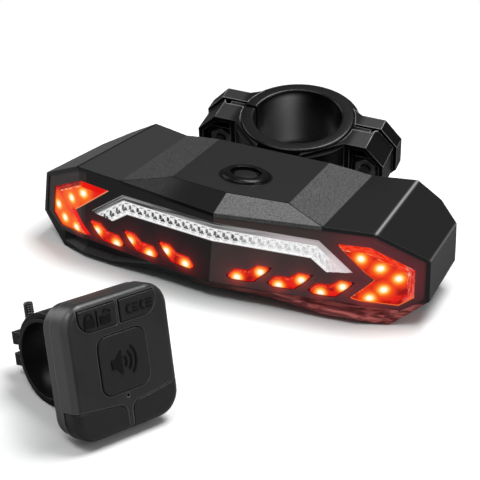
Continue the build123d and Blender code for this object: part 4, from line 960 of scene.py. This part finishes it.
# %% [markdown]
# The red lenses are lit from behind. Each diode shows as a white-hot spot in a yellow ring that fades
# through orange to red, and between the diodes the plastic is dark red. All of it follows the distance
# to the nearest diode, stirred a little by noise as the prisms behind the front would. The marks on the
# lens say how far a point is from its edges, and the bevels there glow in bands of their own. The glints
# and bright lines on the bevels and along the notch are painted highlights. The chevrons' lower rims and
# pointed ends, like the inner tip of the right arrow, are painted shade.

# %% Lit red lenses
def hot_spots(f, spot, places, reach):
    """The light of the diodes: white, yellow, orange and red by distance, orange as far as reach."""
    stir = f.grain(spot, 1.3, 3.0)
    cloud = f.grain(spot, 3.0, 2.0)
    close = nearest(lamp_distances(f, spot, places)) * (0.82 + 0.25 * stir)
    deep = f.mix(cloud.rise(0.38, 0.62), (150, 4, 4), (226, 22, 8))
    return f.blend_all(
        deep,
        (close.rise(reach * 1.6, reach * 0.9), (236, 52, 10)),
        (close.rise(reach * 1.15, reach * 0.5), (246, 100, 18)),
        (close.rise(2.4, 1.3), (255, 158, 50)),
        (close.rise(1.7, 0.95), (255, 220, 120)),
        (close.rise(1.15, 0.6), (1.0, 0.99, 0.9, 1)))


def lit_lens(f, glow, spot):
    """Ends a lens finish: red glass that glows in the given colour."""
    ripple = f.bump(f.grain(spot, 1.1, 4.0), 0.05, f.soft_normal(0.12))
    return f.surface(Base_Color=srgb((60, 3, 3)), Roughness=0.12, Specular_IOR_Level=0.22,
                     Coat_Weight=0.12, Coat_Roughness=0.05, Emission_Color=glow, Emission_Strength=1.0,
                     Normal=ripple)


def arrow_parts(name):
    """What both arrows' finishes start with; the streaks are noise drawn out along the outer edge."""
    f = Finish(name)
    spot = f.place()
    x, _, z = f.axes(spot)
    outer, inner, _ = f.axes(f.place("UV"))
    streak = f.grain(f.joined(x * 0.4, outer * 1.6, z * 0.4), 0.9, 3.0)
    return f, spot, x, z, outer, inner, streak


def right_arrow_light():
    f, spot, x, z, outer, inner, streak = arrow_parts("right_arrow_lit")
    glow = hot_spots(f, spot, right_arrow_lamps, 2.9)
    top = outer.rise(2.0, 1.75) * z.rise(19.0, 20.0)
    side = outer.rise(1.9, 1.7) * x.rise(61.0, 62.0)
    low = outer.rise(0.5, 0.3) * z.rise(12.0, 10.0)
    glint = streak.rise(0.55, 0.68)
    # Painted shade darkens the inner tip. The glint lines, the bright side streaks and the bright line
    # along the notch are painted highlights.
    glow = f.blend_all(
        glow,
        (x.rise(45.5, 42.0) * 0.8, (160, 2, 4)),
        (top * 0.9, f.mix(streak.rise(0.4, 0.6), (232, 34, 10), (250, 74, 44))),
        (side * 0.9, f.mix(streak.rise(0.35, 0.65), (206, 30, 24), (244, 104, 86))),
        (abs(outer - 2.0).fall(0.2) * z.rise(13.0, 15.0) * glint * 0.8, (255, 190, 120)),
        (side * z.rise(15.5, 18.0) * streak.rise(0.56, 0.66), (255, 220, 205)),
        (low * 0.8, (252, 120, 60)),
        (inner.fall(0.28) * 0.75, f.mix(glint, (250, 96, 30), (255, 214, 150))),
        (x.rise(40.6, 40.0), (50, 4, 8)))
    return lit_lens(f, glow, spot)


def left_arrow_light():
    f, spot, x, z, outer, inner, streak = arrow_parts("left_arrow_lit")
    glow = hot_spots(f, spot, left_arrow_lamps, 4.6)
    above = z.rise(18.5, 20.5)
    past_apex = x.rise(-49.6, -51.4)
    band = outer.rise(2.1, 1.9) * above
    rib = outer.rise(1.5, 1.3) * above * past_apex
    heel = inner.rise(2.1, 1.8) * z.rise(17.0, 16.2)
    # The glint lines and the bright line along the notch are painted highlights.
    glow = f.blend_all(
        glow,
        (band * (1 - past_apex) * 0.95, (232, 10, 6)),
        (x.rise(-47.2, -44.5) * above * 0.85, (226, 14, 6)),
        (heel * 0.95, (236, 16, 16)),
        (rib * 0.9, f.mix(streak.rise(0.42, 0.58), (88, 2, 8), (190, 16, 12))),
        (abs(outer - 1.75).fall(0.2) * above * past_apex * streak.rise(0.45, 0.56), (255, 196, 158)),
        (abs(inner - 2.0).fall(0.18) * z.rise(14.0, 12.0) * streak.rise(0.45, 0.6), (255, 200, 170)),
        (inner.fall(0.3) * 0.8 * z.rise(15.8, 16.6), (255, 176, 128)),
        (outer.fall(0.35) * (1 - above) * 0.6, (150, 24, 8)))
    return lit_lens(f, glow, spot)


def chevron_light(name, places, reach):
    f = Finish(name)
    spot = f.place()
    upper, lower, _ = f.axes(f.place("UV"))
    streak = f.grain(spot, 0.9, 4.0)
    # The bright band under the upper edge is a painted highlight. The dark lower rim and pointed ends
    # are painted shade.
    glow = f.blend_all(
        hot_spots(f, spot, places, reach),
        (abs(upper - 0.75).fall(0.3) * streak.rise(0.35, 0.6) * 0.8, (252, 96, 60)),
        (upper.rise(0.55, 0.35) * 0.6, (190, 14, 8)),
        (lower.rise(0.9, 0.55) * 0.5, (214, 14, 12)),
        (lower.rise(0.42, 0.22), (60, 4, 6)),
        ((upper + lower).rise(1.5, 0.9), (44, 4, 8)))
    return lit_lens(f, glow, spot)


left_arrow_finish = left_arrow_light()
right_arrow_finish = right_arrow_light()
left_chevron_finish = chevron_light("left_chevrons_lit", left_chevron_lamps, 2.3)
right_chevron_finish = chevron_light("right_chevrons_lit", right_chevron_lamps, 2.2)
print("made the four red lenses' finishes")

# %% [markdown]
# The prism bar is clear plastic over a white box. It is given a painted glow of its own colour, so that
# it looks bright and milky, and small black marks are painted where a prism face would mirror the dark
# inside. The cells follow the marks: each has a painted dark reflection shaped like an angle bracket in
# its middle and a short black tick above it. These painted reflections fade towards the right, where the
# same faces mirror the white wall. The bevel above is a duller grey with long streaks.

# %% Clear prism bar
def stroke(a, low, high, soft=0.03):
    """1 between two values, with soft ends."""
    return a.rise(low - soft, low + soft) * a.rise(high + soft, high - soft)


def prism_bar():
    """a is the place along a cell and b the height across the bar, both from 0 to 1."""
    f = Finish("prism_bar")
    spot = f.place()
    way, across, _ = f.axes(f.place("UV"))
    count = way / cell_pitch + 100
    cell = count.maths("FRACT", count)
    number = count.maths("FLOOR", count)
    chance = f.node("ShaderNodeTexWhiteNoise", {"noise_dimensions": "1D"}, {"W": number})
    fine = f.grain(spot, 0.35, 3.0)
    wobble = 0.07 * (fine - 0.5)
    a = cell + wobble
    b = across + wobble * 0.5
    upright = stroke(a, 0.12, 0.44) * stroke(b, 0.32, 0.56)
    wedge = stroke(a, 0.32, 0.96 - (b - 0.24) * 1.4) * stroke(b, 0.23, 0.40)
    notch = stroke(a, 0.40, 0.52) * stroke(b, 0.33, 0.38)
    tick = stroke(a, 0.55, 0.95) * stroke(b, 0.57, 0.63)
    low_tick = stroke(a, 0.25, 0.80) * stroke(b, 0.12, 0.17)
    side_tick = stroke(a, 0.02, 0.10) * stroke(b, 0.16, 0.66) * 0.35
    fade = way.rise(19.0, 4.0) * 0.65 + 0.35
    # Painted reflection: dark marks where a prism face would mirror the dark inside, fading towards the
    # right.
    dark_reflection = upright.most(wedge) * (1 - 0.7 * notch) * (0.8 + 0.2 * chance)
    dark_reflection = dark_reflection.most(tick * 0.75).most(low_tick * 0.45).most(side_tick) * fade
    streak = f.grain(f.joined(way * 0.05, across * 9.0, 0.0), 1.0, 3.0)
    bevel = across.rise(0.70, 0.73)
    grey = f.blend_all(
        f.mix(streak.rise(0.40, 0.60), 58, 142),
        (across.rise(0.94, 0.98) * 0.6, 170),
        (way.rise(2.0, 30.0) * 0.8, (200, 190, 192)))
    body = f.blend_all(
        f.mix(fine.rise(0.30, 0.52), 190, 250),
        (dark_reflection.least(1.0), 10),
        (bevel, grey),
        (across.rise(0.09, 0.04) * 0.9, 240),
        (way.rise(36.0, 42.0) * 0.7, (226, 206, 208)))
    # Painted light: the bar glows with this share of its own colour.
    painted_glow_share = 0.62
    shine = f.mix(painted_glow_share, 0, body)
    return f.surface(Base_Color=body, Roughness=0.16 + 0.1 * fine, Coat_Weight=0.4, Coat_Roughness=0.05,
                     Emission_Color=shine, Emission_Strength=1.0,
                     Normal=f.bump(fine, 0.03, f.soft_normal(0.08)))


strip_finish = prism_bar()
print("made", strip_finish.name)

# %% [markdown]
# The rest is black plastic, rubber and steel. They differ in gloss, in the size of their grain and in
# the tone of their corners, which is partly wear and partly painted highlight, and on the keys painted
# shade in the gaps round them. Some also have a lit patch, painted lighter where light falls. One
# function makes them all from those few numbers. Their order is: dark tone, light tone, roughness, size
# of the grain, rounding of the corners, depth of the relief, strength of the mirror, share of corner
# wear and painted light, and that corner tone.

# %% Plain black finishes
def satin_black(name, low, high, rough, lump, rounding=0.25, depth=0.02, shine=0.4, corner_wear_and_painted_light=0.5,
                corner_wear_and_painted_light_tone=110, dead_black_share=0.0, lit_patch=None, lit_patch_tone=0, lit_corners_behind=None):
    """A cloudy tone between low and high, a grain of lump millimetres and corners of another tone, which
    stands for wear and painted light. A lit patch is painted in a light tone of its own, as where light
    falls, and gets no dead black. Corners may be painted light only behind a given y."""
    f = Finish(name)
    spot = f.place()
    fine = f.grain(spot, lump, 2.0)
    cloud = f.grain(spot, 7.0, 2.0)
    rounded = f.soft_normal(rounding)
    edge = f.edge(rounded)
    tone = f.mix(cloud, low, high)
    tone = f.mix(fine.rise(0.55, 0.75) * 0.35, tone, high + 24)
    if lit_patch is not None:
        spared = lit_patch(f, spot)
        tone = f.mix(spared, tone, lit_patch_tone)
        dead_black_share = (1 - spared) * dead_black_share
    if lit_corners_behind is not None:
        edge = edge * f.axes(spot)[1].rise(lit_corners_behind - 2, lit_corners_behind + 2)
        dead_black_share = (1 - edge) * dead_black_share
    tone = f.mix(edge * corner_wear_and_painted_light, tone, corner_wear_and_painted_light_tone)
    return f.surface(dead_black_share, Base_Color=tone, Roughness=rough + 0.1 * (fine - 0.5),
                     Specular_IOR_Level=shine, Normal=f.bump(fine, depth, rounded))


def lit_lug_tops(f, spot):
    """The upper sides of the clamp's lugs, painted lighter where they catch the light."""
    x = f.axes(spot)[0]
    up = f.axes(f.facing())[2]
    return up.rise(0.6, 0.9) * abs(x).rise(21.0, 24.0)


def lit_left_chamfer(f, spot):
    """The remote's long bevel on the left, painted lighter as it faces the light."""
    to_left = (-0.426, -0.905, 0.0)
    return f.vector("DOT_PRODUCT", f.facing(), to_left, 1).rise(0.25, 0.6)


def bore_light(f, spot):
    """A soft upright band of light on the bore's wall."""
    x = f.axes(spot)[0]
    facing_in = (f.axes(f.facing())[1] * -1.0).rise(0.1, 0.4)
    near_middle = f.distance(spot, clamp_middle).rise(20.0, 18.5)
    return abs(x + 8.5).fall(4.0) * facing_in * near_middle


# Painted light: the lug tops, and the corners behind y = 37 mm as painted highlights.
clamp_finish = satin_black("clamp_plastic", 8, 14, 0.36, 0.25, 0.4, 0.02, 0.35, 0.9, 190,
                           dead_black_share=0.5, lit_patch=lit_lug_tops, lit_patch_tone=38, lit_corners_behind=37.0)
liner_finish = satin_black("liner_rubber", 8, 13, 0.28, 0.30, 0.2, 0.01, 0.45, 0.1,
                           dead_black_share=0.25, lit_patch=bore_light, lit_patch_tone=190)
# Painted highlight: the nuts' corners are painted nearly white, as glints.
nut_finish = satin_black("captive_nut_steel", 110, 160, 0.25, 0.35, 0.15, 0.01, 0.6, 0.8, 250)
button_finish = satin_black("button_plastic", 14, 20, 0.40, 0.20, dead_black_share=0.2)
ring_finish = satin_black("trim_ring_plastic", 8, 12, 0.28, 0.20, 0.1, 0.01, 0.45, 0.1, dead_black_share=0.55)
bolt_finish = satin_black("black_steel", 20, 34, 0.28, 0.35, 0.15, 0.01, 0.6)
# Painted light: the left chamfer is painted lighter, and the corners are painted light.
remote_finish = satin_black("remote_shell_plastic", 30, 50, 0.32, 0.25, 0.6, 0.025, 0.5, 0.6, 140,
                            lit_patch=lit_left_chamfer, lit_patch_tone=84)
# Painted shade: the keys' corners are painted black, for the gaps round them.
key_finish = satin_black("remote_key_rubber", 30, 38, 0.32, 0.22, 0.5, 0.01, 0.45, 1.0, 1)
sign_finish = satin_black("raised_sign_rubber", 4, 8, 0.34, 0.22, 0.05, 0.005, 0.3, 0.3, 60)
strap_finish = satin_black("strap_rubber", 22, 30, 0.40, 0.30, 0.4, 0.02, 0.35, 0.8, 130, dead_black_share=0.3)
base_finish = satin_black("base_plate_plastic", 26, 34, 0.50, 0.30)
inner_finish = satin_black("hidden_piece", 60, 90, 0.5, 0.4)
print("made the plain black finishes")

# %% [markdown]
# A new piece rides on the body that its CAD node belongs to, so that it moves with the joints. Where it
# stands for a node, it replaces it. The raised signs replace nothing: they only ride on their keys.

# %% Dress the new pieces
dressed(right_arrow, right_arrow_finish, "lamp", "red_lens", "right_arrow_lens")
dressed(left_arrow, left_arrow_finish, "lamp", "red_lens", "left_arrow_lens")
dressed(right_chevrons, right_chevron_finish, "lamp", "red_lens", "right_chevron_lens")
dressed(left_chevrons, left_chevron_finish, "lamp", "red_lens", "left_chevron_lens")
dressed(strip, strip_finish, "lamp", "clear_lens", "strip_lens")
dressed(trim_ring, ring_finish, "lamp", "housing", "button_trim_ring")
dressed(power_cap, button_finish, "power_button", "button", "power_button")
dressed(liner, liner_finish, "lamp", "rubber", "clamp_liner")
dressed(strap_screw, bolt_finish, "strap_screw", "black_bolt", "remote_strap_screw")
dressed(horn_sign, sign_finish, "horn_button", "remote_key")
dressed(lock_sign, sign_finish, "lock_button", "remote_key")
dressed(mode_sign, sign_finish, "mode_button", "remote_key")
print("dressed the new pieces")

# %% [markdown]
# The CAD pieces keep their shapes and only get a finish. Keys that aren't named here have the rubber of
# the remote's keys, and everything else lies inside and has the plain one for hidden pieces.

# %% Finishes for the CAD pieces that stay
pieces_with = {
    "housing_shell": housing_finish,
    "front_bezel": mask_finish,
    "base_plate": base_finish,
    "base_seal usb_cover remote_strap_pad": button_finish,
    "base_screws clamp_mount_screws remote_screws": bolt_finish,
    "clamp_bolt_right clamp_bolt_left usb_cover_pin remote_strap_nut": bolt_finish,
    "clamp_front_half clamp_rear_half": clamp_finish,
    "clamp_nuts": nut_finish,
    "remote_front_shell remote_back_shell": remote_finish,
    "remote_strap": strap_finish,
}
finish_of = {name: finish for names, finish in pieces_with.items() for name in names.split()}
for name, node in nodes.items():
    finish = finish_of.get(name)
    if finish is None:
        finish = key_finish if name.endswith("_button") else inner_finish
    node.data.materials.clear()
    node.data.materials.append(finish)
print("finishes on", len(nodes), "nodes")
